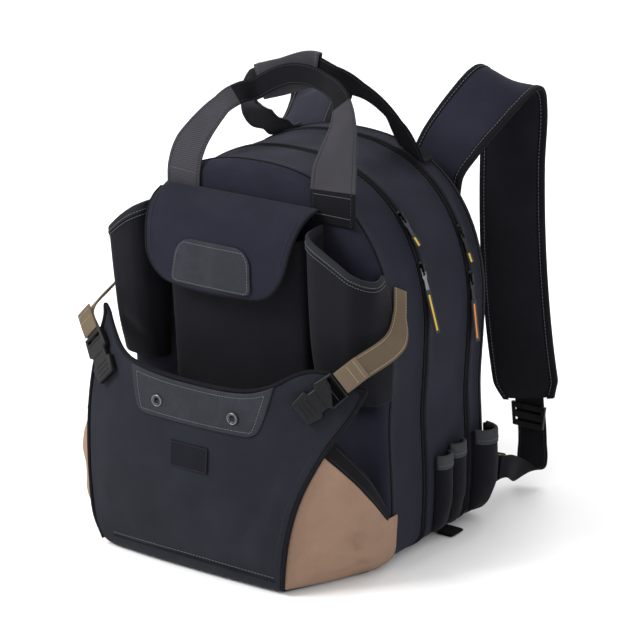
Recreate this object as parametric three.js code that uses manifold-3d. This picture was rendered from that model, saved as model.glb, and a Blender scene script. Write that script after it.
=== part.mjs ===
import * as THREE from "three";
import Module from "manifold-3d";
import { mergeVertices } from "three/addons/utils/BufferGeometryUtils.js";

// A tool backpack: three arched shells joined by two zips, pockets on the front,
// carrying handles on top and padded shoulder straps behind.
// Millimetres, +Z up, +X the bag's right side as drawn, -Y the front, +Y the wearer's side.
// The origin is on the floor, under the middle shell.

const wasm = await Module();
wasm.setup();

// Walls and clearances
const cloth = 2.4;
const seam = 0.3;
const leather = 1.8;
const webbing = 2.2;

// Body
const bodyWidth = 360;
const bodyHeight = 455;
const shoulderHeight = 265;
const archPower = 2.35;
const baseCorner = 30;
const middleDepth = 84;
const zipWidth = 8;
const frontDepth = 78;
const rearDepth = 42;
const frontEdge = 12;
const rearEdge = 18;
const zipSink = 1.6;
const zipThickness = 3.4;
const dividerThickness = 3;

// Front pockets
const upperPocketWidth = 190;
const upperPocketBottom = 172;
const upperPocketTop = 388;
const upperPocketBulge = 40;
const flapWidth = 208;
const flapShift = -10;
const flapTop = 417;
const flapDrop = 98;
const flapReach = 58;
const flapCorner = 40;
const pouchFlapGap = 4;
const pouchBottom = 205;
const pouchInnerTop = 399;
const pouchOuterTop = 352;
const pouchOuter = 178;
const pouchBulge = 50;
const pouchBindingHeight = 12;

// Apron: the large front pocket
const apronFront = 250;
const apronRearWidth = 330;
const apronScoop = 227;
const apronLeftWidth = 160;
const apronRightWidth = 200;
const apronHornLeft = 276;
const apronHornRight = 246;
const pipingRadius = 2;
const gussetHeight = 68;
const gussetApex = 168;
const gussetBulge = 18;
const gussetBindingWidth = 17;
const apronPatchHeight = 47;
const apronPatchWidth = 196;
const eyeletSpacing = 126;
const eyeletRadius = 7.5;
const eyeletHole = 3.4;
const eyeletHeight = 202;
const labelWidth = 53;
const labelHeight = 31;
const labelCentre = 143;
const flapPatchWidth = 112;

// Carrying
const handleWidth = 48;
const handleThickness = 2.6;
const strapWidth = 78;
const strapThickness = 11;
const strapReach = 120;
const lowerWebbingWidth = 38;
const tanWebbingWidth = 27;
const buckleLength = 58;
const buckleWidth = 36;
const buckleThickness = 8;
const wrapHeight = 42;
const wrapRise = 21;

// Side pockets
const penPocketWidth = 25;
const penPocketHeight = 110;
const knifePocketHeight = 118;
const sidePocketBase = 17;
const sidePocketBulge = 12;
const knifePocketBulge = 22;

// Zip closers
const sliderLength = 15;
const sliderWidth = zipWidth;
const bridgeWidth = 3.6;
const pullWidth = 8.4;
const pullLength = 26;
const tabWidth = 9;
const tabThickness = 2;

// Stations along the depth, front to back
const middleFront = -middleDepth / 2;
const middleRear = middleDepth / 2;
const frontMouth = middleFront - zipWidth - 2 * seam;
const frontFace = frontMouth - frontDepth;
const rearMouth = middleRear + zipWidth + 2 * seam;
const rearFace = rearMouth + rearDepth;
const zipFrontCentre = middleFront - seam - zipWidth / 2;
const zipRearCentre = middleRear + seam + zipWidth / 2;

const colours = {
  cloth: [0x34374a, 0.85, 0],
  darkCloth: [0x23242c, 0.9, 0],
  binding: [0x3c3e42, 0.85, 0],
  leather: [0x454a55, 0.6, 0],
  tan: [0xb08c70, 0.9, 0],
  tanWebbing: [0x8c7a66, 0.85, 0],
  webbing: [0x1f1f24, 0.85, 0],
  ribbed: [0x5a5860, 0.85, 0],
  plastic: [0x26262a, 0.5, 0],
  metal: [0x8a8c90, 0.35, 0.9],
};

const bag = new THREE.Group();

function add(name, geometry, finish, parent = bag) {
  const [color, roughness, metalness] = colours[finish];
  const mesh = new THREE.Mesh(geometry, new THREE.MeshStandardMaterial({ color, roughness, metalness }));
  mesh.name = name;
  parent.add(mesh);
  return mesh;
}

const at = (x, y, z) => new THREE.Vector3(x, y, z);
const mix = THREE.MathUtils.lerp;

// Value of a table's column at a share along it, read smoothly between its rows.
function read(table, key, column, value) {
  const last = table.length - 1;
  if (value <= table[0][key]) return table[0][column];
  if (value >= table[last][key]) return table[last][column];
  const i = table.findIndex((row, n) => n < last && value <= table[n + 1][key]);
  const before = table[Math.max(i - 1, 0)];
  const after = table[Math.min(i + 2, last)];
  const [a, b] = [table[i], table[i + 1]];
  const t = (value - a[key]) / (b[key] - a[key]);
  const span = b[key] - a[key];
  const slope = (p, q) => ((q[column] - p[column]) / Math.max(q[key] - p[key], 1e-9)) * span;
  const m0 = slope(before, b);
  const m1 = slope(a, after);
  const [t2, t3] = [t * t, t * t * t];
  return (
    (2 * t3 - 3 * t2 + 1) * a[column] +
    (t3 - 2 * t2 + t) * m0 +
    (3 * t2 - 2 * t3) * b[column] +
    (t3 - t2) * m1
  );
}

// A solid from a list of corners and triangles, turned so that its faces point out.
function solid(corners, triangles) {
  let volume = 0;
  for (const [a, b, c] of triangles) {
    volume += corners[a].dot(corners[b].clone().cross(corners[c]));
  }
  const index = triangles.flatMap(([a, b, c]) => (volume < 0 ? [a, c, b] : [a, b, c]));
  const geometry = new THREE.BufferGeometry();
  geometry.setAttribute("position", new THREE.Float32BufferAttribute(corners.flatMap((p) => p.toArray()), 3));
  geometry.setIndex(index);
  return geometry;
}

// Rings of equally many corners joined in order: closed at both ends, or into a hoop.
// twin gives the ring's second half the same diagonals as its first, so a thin twisted band stays sound.
function loft(rings, hoop = false, twin = false) {
  const count = rings[0].length;
  const corners = rings.flat();
  const triangles = [];
  const spans = hoop ? rings.length : rings.length - 1;
  for (let r = 0; r < spans; r++) {
    const next = (r + 1) % rings.length;
    for (let i = 0; i < count; i++) {
      const j = (i + 1) % count;
      const [a, b] = [r * count + i, r * count + j];
      const [c, d] = [next * count + j, next * count + i];
      if (twin && i >= count / 2) triangles.push([a, b, d], [b, c, d]);
      else triangles.push([a, b, c], [a, c, d]);
    }
  }
  if (!hoop) {
    for (const [ring, turn] of [[0, 1], [rings.length - 1, -1]]) {
      const centre = rings[ring].reduce((sum, p) => sum.add(p), at(0, 0, 0)).divideScalar(count);
      const hub = corners.push(centre) - 1;
      for (let i = 0; i < count; i++) {
        const [a, b] = [ring * count + i, ring * count + ((i + 1) % count)];
        triangles.push(turn > 0 ? [hub, b, a] : [hub, a, b]);
      }
    }
  }
  return solid(corners, triangles);
}

// A grid of points moved along its own normals.
function lifted(rows, distance) {
  const [nv, nu] = [rows.length, rows[0].length];
  return rows.map((row, v) =>
    row.map((p, u) => {
      const along = row[Math.min(u + 1, nu - 1)].clone().sub(row[Math.max(u - 1, 0)]);
      const across = rows[Math.min(v + 1, nv - 1)][u].clone().sub(rows[Math.max(v - 1, 0)][u]);
      return p.clone().addScaledVector(along.cross(across).normalize(), distance);
    })
  );
}

// A cloth wall: a grid of points given half the thickness on either side.
function wall(rows, thickness) {
  const [nv, nu] = [rows.length, rows[0].length];
  const corners = [...lifted(rows, thickness / 2), ...lifted(rows, -thickness / 2)].flat();
  const far = nv * nu;
  const id = (v, u) => v * nu + u;
  const triangles = [];
  const quad = (a, b, c, d) => triangles.push([a, b, c], [a, c, d]);
  for (let v = 0; v < nv - 1; v++) {
    for (let u = 0; u < nu - 1; u++) {
      quad(id(v, u), id(v, u + 1), id(v + 1, u + 1), id(v + 1, u));
      quad(far + id(v, u), far + id(v + 1, u), far + id(v + 1, u + 1), far + id(v, u + 1));
    }
    quad(id(v, 0), id(v + 1, 0), far + id(v + 1, 0), far + id(v, 0));
    quad(id(v + 1, nu - 1), id(v, nu - 1), far + id(v, nu - 1), far + id(v + 1, nu - 1));
  }
  for (let u = 0; u < nu - 1; u++) {
    quad(id(0, u + 1), id(0, u), far + id(0, u), far + id(0, u + 1));
    quad(id(nv - 1, u), id(nv - 1, u + 1), far + id(nv - 1, u + 1), far + id(nv - 1, u));
  }
  return solid(corners, triangles);
}

const grid = (nv, nu, point) =>
  Array.from({ length: nv + 1 }, (_, v) => Array.from({ length: nu + 1 }, (_, u) => point(u / nu, v / nv)));

// A band through stations with columns x, y, z (its middle), ax, ay, az (across), width and thick.
// sides is 4 for flat webbing; more gives a padded band with round edges.
function band(stations, steps, sides = 4) {
  const curve = (keys) =>
    new THREE.CatmullRomCurve3(stations.map((s) => at(s[keys[0]], s[keys[1]], s[keys[2]])), false, "centripetal");
  const middle = curve(["x", "y", "z"]);
  const last = stations.length - 1;
  const blend = (t, column) => {
    const i = Math.min(Math.floor(t * last), last - 1);
    return mix(stations[i][column], stations[i + 1][column], t * last - i);
  };
  const rings = [];
  for (let n = 0; n <= steps; n++) {
    const t = n / steps;
    const centre = middle.getPoint(t);
    const along = middle.getTangent(t);
    const across = at(blend(t, "ax"), blend(t, "ay"), blend(t, "az"));
    across.addScaledVector(along, -across.dot(along)).normalize();
    const up = along.clone().cross(across).normalize();
    const [half, deep] = [blend(t, "width") / 2, blend(t, "thick") / 2];
    const ring = [];
    for (let k = 0; k < sides; k++) {
      const a = ((k + 0.5) / sides) * 2 * Math.PI;
      const [c, s] = [Math.cos(a), Math.sin(a)];
      const grow = sides === 4 ? Math.SQRT2 : 1;
      const flat = sides === 4 ? 1 : 0.55;
      const [px, py] = [Math.sign(c) * Math.abs(c) ** flat, Math.sign(s) * Math.abs(s) ** flat];
      ring.push(centre.clone().addScaledVector(across, px * grow * half).addScaledVector(up, py * grow * deep));
    }
    rings.push(ring);
  }
  return loft(rings, false, true);
}

// A round piping of the given radius along a list of points.
function piping(points, radius, steps, sides = 5) {
  const curve = new THREE.CatmullRomCurve3(points, false, "centripetal");
  const rings = [];
  let across = at(1, 0, 0);
  for (let n = 0; n <= steps; n++) {
    const along = curve.getTangent(n / steps);
    if (n === 0 && Math.abs(along.x) > 0.9) across = at(0, 1, 0);
    across = across.clone().addScaledVector(along, -across.dot(along)).normalize();
    const up = along.clone().cross(across);
    const centre = curve.getPoint(n / steps);
    rings.push(
      Array.from({ length: sides }, (_, k) => {
        const a = (k / sides) * 2 * Math.PI;
        return centre
          .clone()
          .addScaledVector(across, radius * Math.cos(a))
          .addScaledVector(up, radius * Math.sin(a));
      })
    );
  }
  return loft(rings);
}

function toManifold(geometry) {
  const bare = geometry.clone();
  bare.deleteAttribute("normal");
  bare.deleteAttribute("uv");
  const merged = mergeVertices(bare, 1e-4);
  return new wasm.Manifold(
    new wasm.Mesh({
      numProp: 3,
      vertProperties: new Float32Array(merged.attributes.position.array),
      triVerts: new Uint32Array(merged.index.array),
    })
  );
}

function fromManifold(shape) {
  const mesh = shape.getMesh();
  const geometry = new THREE.BufferGeometry();
  geometry.setAttribute("position", new THREE.BufferAttribute(new Float32Array(mesh.vertProperties), 3));
  geometry.setIndex(new THREE.BufferAttribute(new Uint32Array(mesh.triVerts), 1));
  return geometry;
}

// The body's outline

// Soft folds down the sides: height and reach are shares of the body's height, depth of its width.
const sideFolds = [
  { height: 0.16, reach: 0.1, depth: 0.006 },
  { height: 0.38, reach: 0.09, depth: -0.007 },
  { height: 0.62, reach: 0.12, depth: 0.004 },
];

function fold(height) {
  return sideFolds.reduce(
    (sum, f) => sum + f.depth * bodyWidth * Math.exp(-(((height / bodyHeight - f.height) / f.reach) ** 2)),
    0
  );
}

// Half width of the body at a height.
function halfWidth(height, inset = 0) {
  const half = bodyWidth / 2 - inset;
  const rise = (height - shoulderHeight) / (bodyHeight - inset - shoulderHeight);
  const arch = rise > 0 ? (1 - Math.min(rise, 1) ** archPower) ** (1 / archPower) : 1;
  return (half + fold(height) * Math.min(height / (2 * baseCorner), 1)) * arch;
}

// Half width with the round base corner taken off.
function bodySide(height) {
  const under = Math.max(baseCorner - height, 0);
  return halfWidth(height) - (baseCorner - Math.sqrt(baseCorner ** 2 - Math.min(under, baseCorner) ** 2));
}

// The outline as a ring in XZ at one depth: flat base, round base corners, sides, arch.
function outline(y, inset) {
  const half = bodyWidth / 2 - inset;
  const corner = Math.max(baseCorner - inset, 3);
  const right = [[(half - corner) / 3, inset]];
  for (const angle of [0, 30, 60, 90]) {
    const a = THREE.MathUtils.degToRad(angle);
    right.push([half - corner + corner * Math.sin(a), inset + corner * (1 - Math.cos(a))]);
  }
  const arch = 9;
  for (const share of [0.2, 0.4, 0.6, 0.8]) {
    right.push([half, mix(inset + corner, shoulderHeight, share)]);
  }
  for (let n = 0; n < arch; n++) {
    const a = (n / arch) * (Math.PI / 2);
    right.push([
      half * Math.cos(a) ** (2 / archPower),
      shoulderHeight + (bodyHeight - inset - shoulderHeight) * Math.sin(a) ** (2 / archPower),
    ]);
  }
  const shaped = right.map(([x, z]) => [x + fold(z) * (x / half) ** 4 * Math.min(z / (2 * baseCorner), 1), z]);
  const left = shaped.map(([x, z]) => [-x, z]).reverse();
  return [...shaped, [0, bodyHeight - inset], ...left].map(([x, z]) => at(x, y, z));
}

// A tray open at its mouth, with a rounded edge round its face.
function tray(mouth, face, edge) {
  const way = Math.sign(face - mouth);
  const round = (angle) => edge * (1 - Math.sin(THREE.MathUtils.degToRad(angle)));
  const outer = [
    outline(mouth, 0),
    outline((mouth + face) / 2, 0),
    outline(face - way * edge, 0),
    outline(face - way * round(45), edge - edge * Math.cos(Math.PI / 4)),
    outline(face, edge),
  ];
  const inner = [
    outline(face - way * cloth, edge),
    outline(face - way * (edge + cloth / 2), cloth),
    outline(mouth, cloth),
  ];
  return loft([...inner, ...outer]);
}

function hoop(front, rear, inset, thickness) {
  return loft(
    [
      outline(front, inset),
      outline(mix(front, rear, 0.6), inset),
      outline(rear, inset),
      outline(rear, inset + thickness),
      outline(mix(front, rear, 0.6), inset + thickness),
      outline(front, inset + thickness),
    ],
    true
  );
}

add("front_shell", tray(frontMouth, frontFace, frontEdge), "cloth");
add("middle_shell", hoop(middleFront, middleRear, 0, cloth), "cloth");
add("back_shell", tray(rearMouth, rearFace, rearEdge), "cloth");
add("zip_front", hoop(frontMouth + seam, middleFront - seam, zipSink, zipThickness), "webbing");
add("zip_rear", hoop(middleRear + seam, rearMouth - seam, zipSink, zipThickness), "webbing");
add(
  "middle_divider",
  loft([
    outline(-dividerThickness / 2, cloth + seam),
    outline(dividerThickness / 2, cloth + seam),
  ]),
  "darkCloth"
);

// Back panel: a crowned pad with its own arched outline

const padWidth = 270;
const padBottom = 26;
const padTop = 372;
const padThickness = 9;

function padRing(y, inset) {
  const middle = (padBottom + padTop) / 2;
  return Array.from({ length: 20 }, (_, k) => {
    const a = (k / 20) * 2 * Math.PI;
    const [c, s] = [Math.cos(a), Math.sin(a)];
    const power = 2 / 4.5;
    return at(
      (padWidth / 2 - inset) * Math.sign(c) * Math.abs(c) ** power,
      y,
      middle + ((padTop - padBottom) / 2 - inset) * Math.sign(s) * Math.abs(s) ** power
    );
  });
}

const padSeat = rearFace + seam;
add(
  "back_pad",
  loft([
    padRing(padSeat, 0),
    padRing(padSeat + padThickness * 0.5, 0),
    padRing(padSeat + padThickness * 0.85, 4),
    padRing(padSeat + padThickness, 14),
  ]),
  "darkCloth"
);

// Upper pocket: a boxy cloth pocket on the front face, open at its top

const sewn = frontFace - seam - cloth / 2;

// Its section: across is a share of half its width, out a share of its bulge.
const boxSection = [
  { t: 0, across: -1, out: 0 },
  { t: 0.14, across: -0.985, out: 0.62 },
  { t: 0.24, across: -0.9, out: 0.94 },
  { t: 0.5, across: 0, out: 1.06 },
  { t: 0.76, across: 0.9, out: 0.94 },
  { t: 0.86, across: 0.985, out: 0.62 },
  { t: 1, across: 1, out: 0 },
];

add(
  "upper_pocket",
  wall(
    grid(5, 12, (u, v) => {
      const t = boxSection[0].t + u;
      const bulge = upperPocketBulge * (v === 0 ? 0 : mix(0.55, 1, v));
      return at(
        (upperPocketWidth / 2) * read(boxSection, "t", "across", t),
        sewn - bulge * read(boxSection, "t", "out", t),
        mix(upperPocketBottom, upperPocketTop, v)
      );
    }),
    cloth
  ),
  "darkCloth"
);

// Flap over the upper pocket, sewn over the handle's legs: reach is a share of flapReach, drop of flapDrop, half of half its width

const flapRows = [
  { v: 0, reach: 0, drop: 0, half: 1 },
  { v: 0.16, reach: 0.32, drop: 0.03, half: 1.0 },
  { v: 0.32, reach: 0.64, drop: 0.13, half: 0.99 },
  { v: 0.5, reach: 0.86, drop: 0.33, half: 0.96 },
  { v: 0.7, reach: 0.96, drop: 0.6, half: 0.92 },
  { v: 0.86, reach: 1.0, drop: 0.82, half: 0.89 },
  { v: 1, reach: 1.02, drop: 1, half: 0.87 },
];

const flapSeam = sewn - handleThickness;

// A point of the flap: side runs from -1 to 1 across it, v from its seam to its hem.
function flapPoint(side, v) {
  const drop = read(flapRows, "v", "drop", v) * flapDrop;
  const left = Math.max(drop - (flapDrop - flapCorner), 0);
  const cut = flapCorner - Math.sqrt(Math.max(flapCorner ** 2 - left ** 2, 0)) * 0.98;
  const half = (flapWidth / 2) * read(flapRows, "v", "half", v) - (left > 0 ? cut - flapCorner * 0.02 : 0);
  const dish = 5 * v * (1 - side * side);
  return at(
    flapShift + side * half,
    flapSeam - flapReach * read(flapRows, "v", "reach", v) - dish,
    flapTop - drop
  );
}

add("flap", wall(grid(10, 8, (u, v) => flapPoint(2 * u - 1, v)), cloth), "cloth");

// A patch sewn on a curved panel: a wall that follows the panel at a clearance in front of it
function patch(point, out, nv, nu, thickness) {
  const rows = grid(nv, nu, point);
  return wall(rows.map((row) => row.map((p) => p.clone().addScaledVector(out, thickness / 2))), thickness);
}

const flapPatchStart = 0.56;
add(
  "flap_patch",
  patch(
    (u, v) => {
      const side = ((2 * u - 1) * flapPatchWidth) / flapWidth;
      const round = 1 - 0.16 * (1 - v) ** 2;
      const p = flapPoint(side * round, mix(flapPatchStart, 0.985, v));
      return p.add(at(0, -cloth / 2 - 2 * seam, 0));
    },
    at(0, -1, -0.05),
    5,
    8,
    leather
  ),
  "leather"
);

// Pouches either side of the upper pocket

// Section rows: across runs from the inner edge (0) to the outer one (1), out is a share of the bulge.
const pouchSection = [
  { t: 0, across: 0, out: 0 },
  { t: 0.2, across: 0.06, out: 0.78 },
  { t: 0.36, across: 0.28, out: 1.02 },
  { t: 0.5, across: 0.52, out: 1.0 },
  { t: 0.66, across: 0.8, out: 0.94 },
  { t: 0.84, across: 1.0, out: 0.5 },
  { t: 1, across: 1, out: 0 },
];

// Height rows: bulge and width as shares, from the bottom to the mouth.
const pouchRows = [
  { v: 0, bulge: 0.4, width: 0.99 },
  { v: 0.3, bulge: 0.76, width: 0.98 },
  { v: 0.6, bulge: 0.9, width: 0.99 },
  { v: 1, bulge: 1, width: 1.03 },
];

// Its last row wraps round the body's corner and is sewn to the side.
function pouchPoint(side, t, v) {
  const inner = flapWidth / 2 + side * flapShift + pouchFlapGap;
  const across = read(pouchSection, "t", "across", t);
  const height = mix(pouchBottom, mix(pouchInnerTop, pouchOuterTop, Math.min(across, 1) ** 1.35), v);
  if (t === 1) {
    const outer = halfWidth(Math.min(height, pouchOuterTop)) + cloth / 2 + 2 * seam;
    return at(side * outer, frontFace + frontEdge, height);
  }
  const x = inner + across * (pouchOuter - inner) * read(pouchRows, "v", "width", v);
  const out = read(pouchSection, "t", "out", t) * pouchBulge * read(pouchRows, "v", "bulge", v);
  return at(side * x, sewn - (t === 0 ? cloth / 2 + seam : 0) - out, height);
}

// Each pouch has a binding folded over its mouth, seen on its outside
for (const [word, side] of [["left", -1], ["right", 1]]) {
  const rows = grid(6, 9, (u, v) => pouchPoint(side, u, v));
  add(`pouch_${word}`, wall(rows, cloth), "darkCloth");
  const [below, top] = lifted(rows, side * (cloth / 2 + leather / 2 + 2 * seam)).slice(-2);
  const strip = [1 - pouchBindingHeight / 26, 0.99].map((share) =>
    top.slice(1, -1).map((p, n) => below[n + 1].clone().lerp(p, share))
  );
  add(`pouch_binding_${word}`, wall(strip, leather), "binding");
}

// Apron: the large front pocket, one cloth wall from its floor up to its scooped mouth

// Its front: height is a share of apronScoop, out and the setbacks of apronFront,
// left and right of the apron's half widths.
const apronRows = [
  { height: 0.006, out: 0.955, left: 0.76, right: 0.58, setLeft: 0.01, setRight: 0.01 },
  { height: 0.028, out: 0.985, left: 0.82, right: 0.59, setLeft: 0.02, setRight: 0.015 },
  { height: 0.085, out: 1.0, left: 0.9, right: 0.6, setLeft: 0.04, setRight: 0.02 },
  { height: 0.264, out: 1.012, left: 0.975, right: 0.62, setLeft: 0.075, setRight: 0.035 },
  { height: 0.5, out: 1.016, left: 0.995, right: 0.68, setLeft: 0.085, setRight: 0.06 },
  { height: 0.76, out: 1.0, left: 1.0, right: 0.8, setLeft: 0.09, setRight: 0.115 },
  { height: 1, out: 0.972, left: 0.985, right: 0.95, setLeft: 0.11, setRight: 0.17 },
  { height: 1.22, out: 0.94, left: 0.95, right: 1.0, setLeft: 0.13, setRight: 0.2 },
];

// Its mouth: across is a share of the half width, rise of the horn's rise over the scoop.
const apronMouth = [
  { across: -1, rise: 1 },
  { across: -0.86, rise: 0.6 },
  { across: -0.72, rise: 0.25 },
  { across: -0.56, rise: 0.09 },
  { across: 0, rise: 0 },
  { across: 0.34, rise: 0.08 },
  { across: 0.5, rise: 0.55 },
  { across: 0.64, rise: 1.45 },
  { across: 0.74, rise: 1.75 },
  { across: 0.86, rise: 1.5 },
  { across: 1, rise: 0.75 },
];

function apronEdge(side, height) {
  const share = height / apronScoop;
  return side < 0
    ? -apronLeftWidth * read(apronRows, "height", "left", share)
    : apronRightWidth * read(apronRows, "height", "right", share);
}

function apronDepth(side, height) {
  const share = height / apronScoop;
  const set = read(apronRows, "height", side < 0 ? "setLeft" : "setRight", share);
  return -apronFront * (read(apronRows, "height", "out", share) - set * Math.abs(side) ** 2.2);
}

function mouthHeight(side) {
  const rise = read(apronMouth, "across", "rise", side);
  return apronScoop + rise * ((side < 0 ? apronHornLeft : apronHornRight) - apronScoop);
}

const apronLow = apronRows[0].height * apronScoop;
const apronRise = [0, 0.022, 0.08, 0.24, 0.42, 0.6, 0.78, 0.9, 1];
const apronFloor = [0, 0.5, 0.93];

function apronPoint(side, share) {
  const height = mix(apronLow, mouthHeight(side), share);
  return at(Math.abs(side) * apronEdge(side, height), apronDepth(side, height), Math.max(height, cloth / 2));
}

function apronRowsOfPoints() {
  const sides = Array.from({ length: 19 }, (_, n) => -1 + n / 9);
  const floor = apronFloor.map((go) =>
    sides.map((side) => {
      const front = apronPoint(side, 0);
      const rearX = (side * apronRearWidth) / 2;
      return at(mix(rearX, front.x, go), mix(sewn - seam, front.y, go), cloth / 2);
    })
  );
  return [...floor, ...apronRise.map((share) => sides.map((side) => apronPoint(side, share)))];
}

add("apron", wall(apronRowsOfPoints(), cloth), "cloth");

// Piping round the apron's edge: up the left side, along the mouth, down the right side
function edgePoint(side, height) {
  const beside = pipingRadius + cloth;
  return at(apronEdge(side, height) + side * beside, apronDepth(side, height), height);
}

const pipingClear = pipingRadius + 6 * seam;
const leftTop = mouthHeight(-1);
const rightTop = mouthHeight(1);
const sideHeights = [0.03, 0.12, 0.3, 0.5, 0.7, 0.88, 0.97];
const tip = (side, top) => edgePoint(side, top).add(at(side * 1.8, 0, pipingClear));
const pipingPath = [
  ...sideHeights.map((share) => edgePoint(-1, share * leftTop)),
  tip(-1, leftTop),
  ...Array.from({ length: 17 }, (_, n) => apronPoint(-0.94 + (1.88 * n) / 16, 1).add(at(0, 0, pipingClear))),
  tip(1, rightTop),
  ...sideHeights.map((share) => edgePoint(1, share * rightTop)).reverse(),
];
add("apron_binding", piping(pipingPath, pipingRadius, 64), "webbing");

// Patches on the apron, each given by its middle height, size and rounding at its lower corners
function onApron(x, z) {
  const side = x / Math.abs(apronEdge(Math.sign(x) || 1, z));
  return at(x, apronDepth(side, z) - cloth / 2 - 2 * seam, z);
}

const patchSide = apronPatchWidth / 2;
add(
  "apron_patch",
  patch(
    (u, v) => {
      const across = 2 * u - 1;
      const lowHalf = patchSide * 0.82;
      const half = mix(lowHalf, patchSide, v ** 0.8) - (v === 0 ? apronPatchHeight * 0.12 : 0);
      const x = across * half + 5;
      const side = x / Math.abs(apronEdge(Math.sign(x), apronScoop));
      const low = apronScoop - apronPatchHeight;
      return onApron(x, mix(low, mouthHeight(side) - 2 * seam, v));
    },
    at(0, -1, 0),
    4,
    12,
    leather
  ),
  "leather"
);

// Metal eyelets in the patch: flanged rings
for (const [word, side] of [["left", -1], ["right", 1]]) {
  const ring = new THREE.LatheGeometry(
    [
      new THREE.Vector2(eyeletHole, 0),
      new THREE.Vector2(eyeletRadius, 0),
      new THREE.Vector2(eyeletRadius * 0.92, 1.1),
      new THREE.Vector2(eyeletHole * 1.3, 1.9),
      new THREE.Vector2(eyeletHole, 1.2),
      new THREE.Vector2(eyeletHole, 0),
    ],
    12
  );
  const x = (side * eyeletSpacing) / 2;
  const eyelet = add(`eyelet_${word}`, ring, "metal");
  const seat = onApron(x, eyeletHeight);
  eyelet.position.copy(seat).add(at(0, -leather - 5 * seam, 0));
  eyelet.rotation.set(Math.PI, 0, 0);
}

add(
  "label",
  patch(
    (u, v) => onApron((u - 0.5) * labelWidth, labelCentre + (v - 0.5) * labelHeight),
    at(0, -1, 0),
    2,
    4,
    leather / 2
  ),
  "webbing"
);

// Gussets: tan cloth between the apron's sides and the body

// Their billow: height is a share of the gusset's, out of gussetBulge.
const gussetRows = [
  { height: 0, out: 0.15 },
  { height: 0.18, out: 0.6 },
  { height: 0.36, out: 0.85 },
  { height: 0.52, out: 0.7 },
  { height: 0.7, out: 1.1 },
  { height: 1, out: 0.9 },
];
const gussetSection = [
  { t: 0, out: 0 },
  { t: 0.25, out: 0.85 },
  { t: 0.45, out: 1 },
  { t: 0.75, out: 0.5 },
  { t: 1, out: 0 },
];
const gussetSeat = frontFace + frontEdge + 8;
const gussetTurn = 0.85;

// From the apron's edge to the body's front corner, then back along the body's side to its seam.
function gussetPoint(side, u, v, above = 0) {
  const low = cloth * 1.5 + 2 * seam;
  const frontHeight = mix(low, gussetApex, v) + above;
  const rearHeight = mix(low, gussetHeight, v) + above;
  const frontX = apronEdge(side, frontHeight) + side * (cloth / 2 + seam);
  const front = at(frontX, apronDepth(side, frontHeight) + cloth / 2 + pipingRadius + 3 * seam, frontHeight);
  const x = side * (bodySide(rearHeight) + cloth / 2 + 4 * seam);
  const corner = at(x, frontFace - cloth, rearHeight);
  if (u > gussetTurn) return corner.lerp(at(x, gussetSeat, rearHeight), (u - gussetTurn) / (1 - gussetTurn));
  const share = u / gussetTurn;
  const out = read(gussetSection, "t", "out", share) * read(gussetRows, "height", "out", v) * gussetBulge;
  return front.lerp(corner, share).add(at(side * out, -0.4 * out, 0));
}

for (const [word, side] of [["left", -1], ["right", 1]]) {
  add(`gusset_${word}`, wall(grid(8, 10, (u, v) => gussetPoint(side, u, v)), cloth), "tan");
  add(
    `gusset_binding_${word}`,
    wall(
      grid(1, 10, (u, v) => gussetPoint(side, u, 1, 3 * seam + v * gussetBindingWidth)),
      cloth
    ),
    "webbing"
  );
}

// Carrying handles. Columns: across is a share of the legs' spread, rise a share of the way from the sewn legs up
// to the grip, reach a share of the way from the seat to the grip's depth, width a share of the webbing's width.

const legTop = 437;
const gripHeight = 544;
const frontSpread = 100;
const frontGripDepth = -60;
const rearGripDepth = -47;
const onFace = frontFace - seam - handleThickness / 2;

const frontHandleRows = [
  { across: -0.96, rise: -0.33, reach: 0, ax: 1, az: 0, width: 0.96 },
  { across: -0.95, rise: 0, reach: 0, ax: 1, az: 0, width: 0.96 },
  { across: -0.9, rise: 0.25, reach: 0.1, ax: 1, az: 0, width: 0.92 },
  { across: -0.67, rise: 0.645, reach: 0.49, ax: 1, az: 0, width: 0.64 },
  { across: -0.54, rise: 0.757, reach: 0.715, ax: 0.7, az: -0.7, width: 0.52 },
  { across: -0.44, rise: 0.785, reach: 0.957, ax: 0, az: -1, width: 0.5 },
  { across: -0.22, rise: 0.907, reach: 1, ax: 0, az: -1, width: 0.5 },
  { across: 0.02, rise: 1, reach: 1, ax: 0, az: -1, width: 0.5 },
  { across: 0.26, rise: 1.02, reach: 1, ax: 0, az: -1, width: 0.5 },
  { across: 0.5, rise: 0.972, reach: 0.971, ax: 0, az: -1, width: 0.5 },
  { across: 0.8, rise: 0.888, reach: 0.772, ax: -0.7, az: -0.7, width: 0.52 },
  { across: 1.01, rise: 0.664, reach: 0.459, ax: -1, az: 0, width: 0.67 },
  { across: 1.08, rise: 0.252, reach: 0.086, ax: -1, az: 0, width: 1.2 },
  { across: 1.1, rise: 0, reach: 0, ax: -1, az: 0, width: 1.25 },
  { across: 1.1, rise: -0.33, reach: 0, ax: -1, az: 0, width: 1.25 },
];
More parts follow.
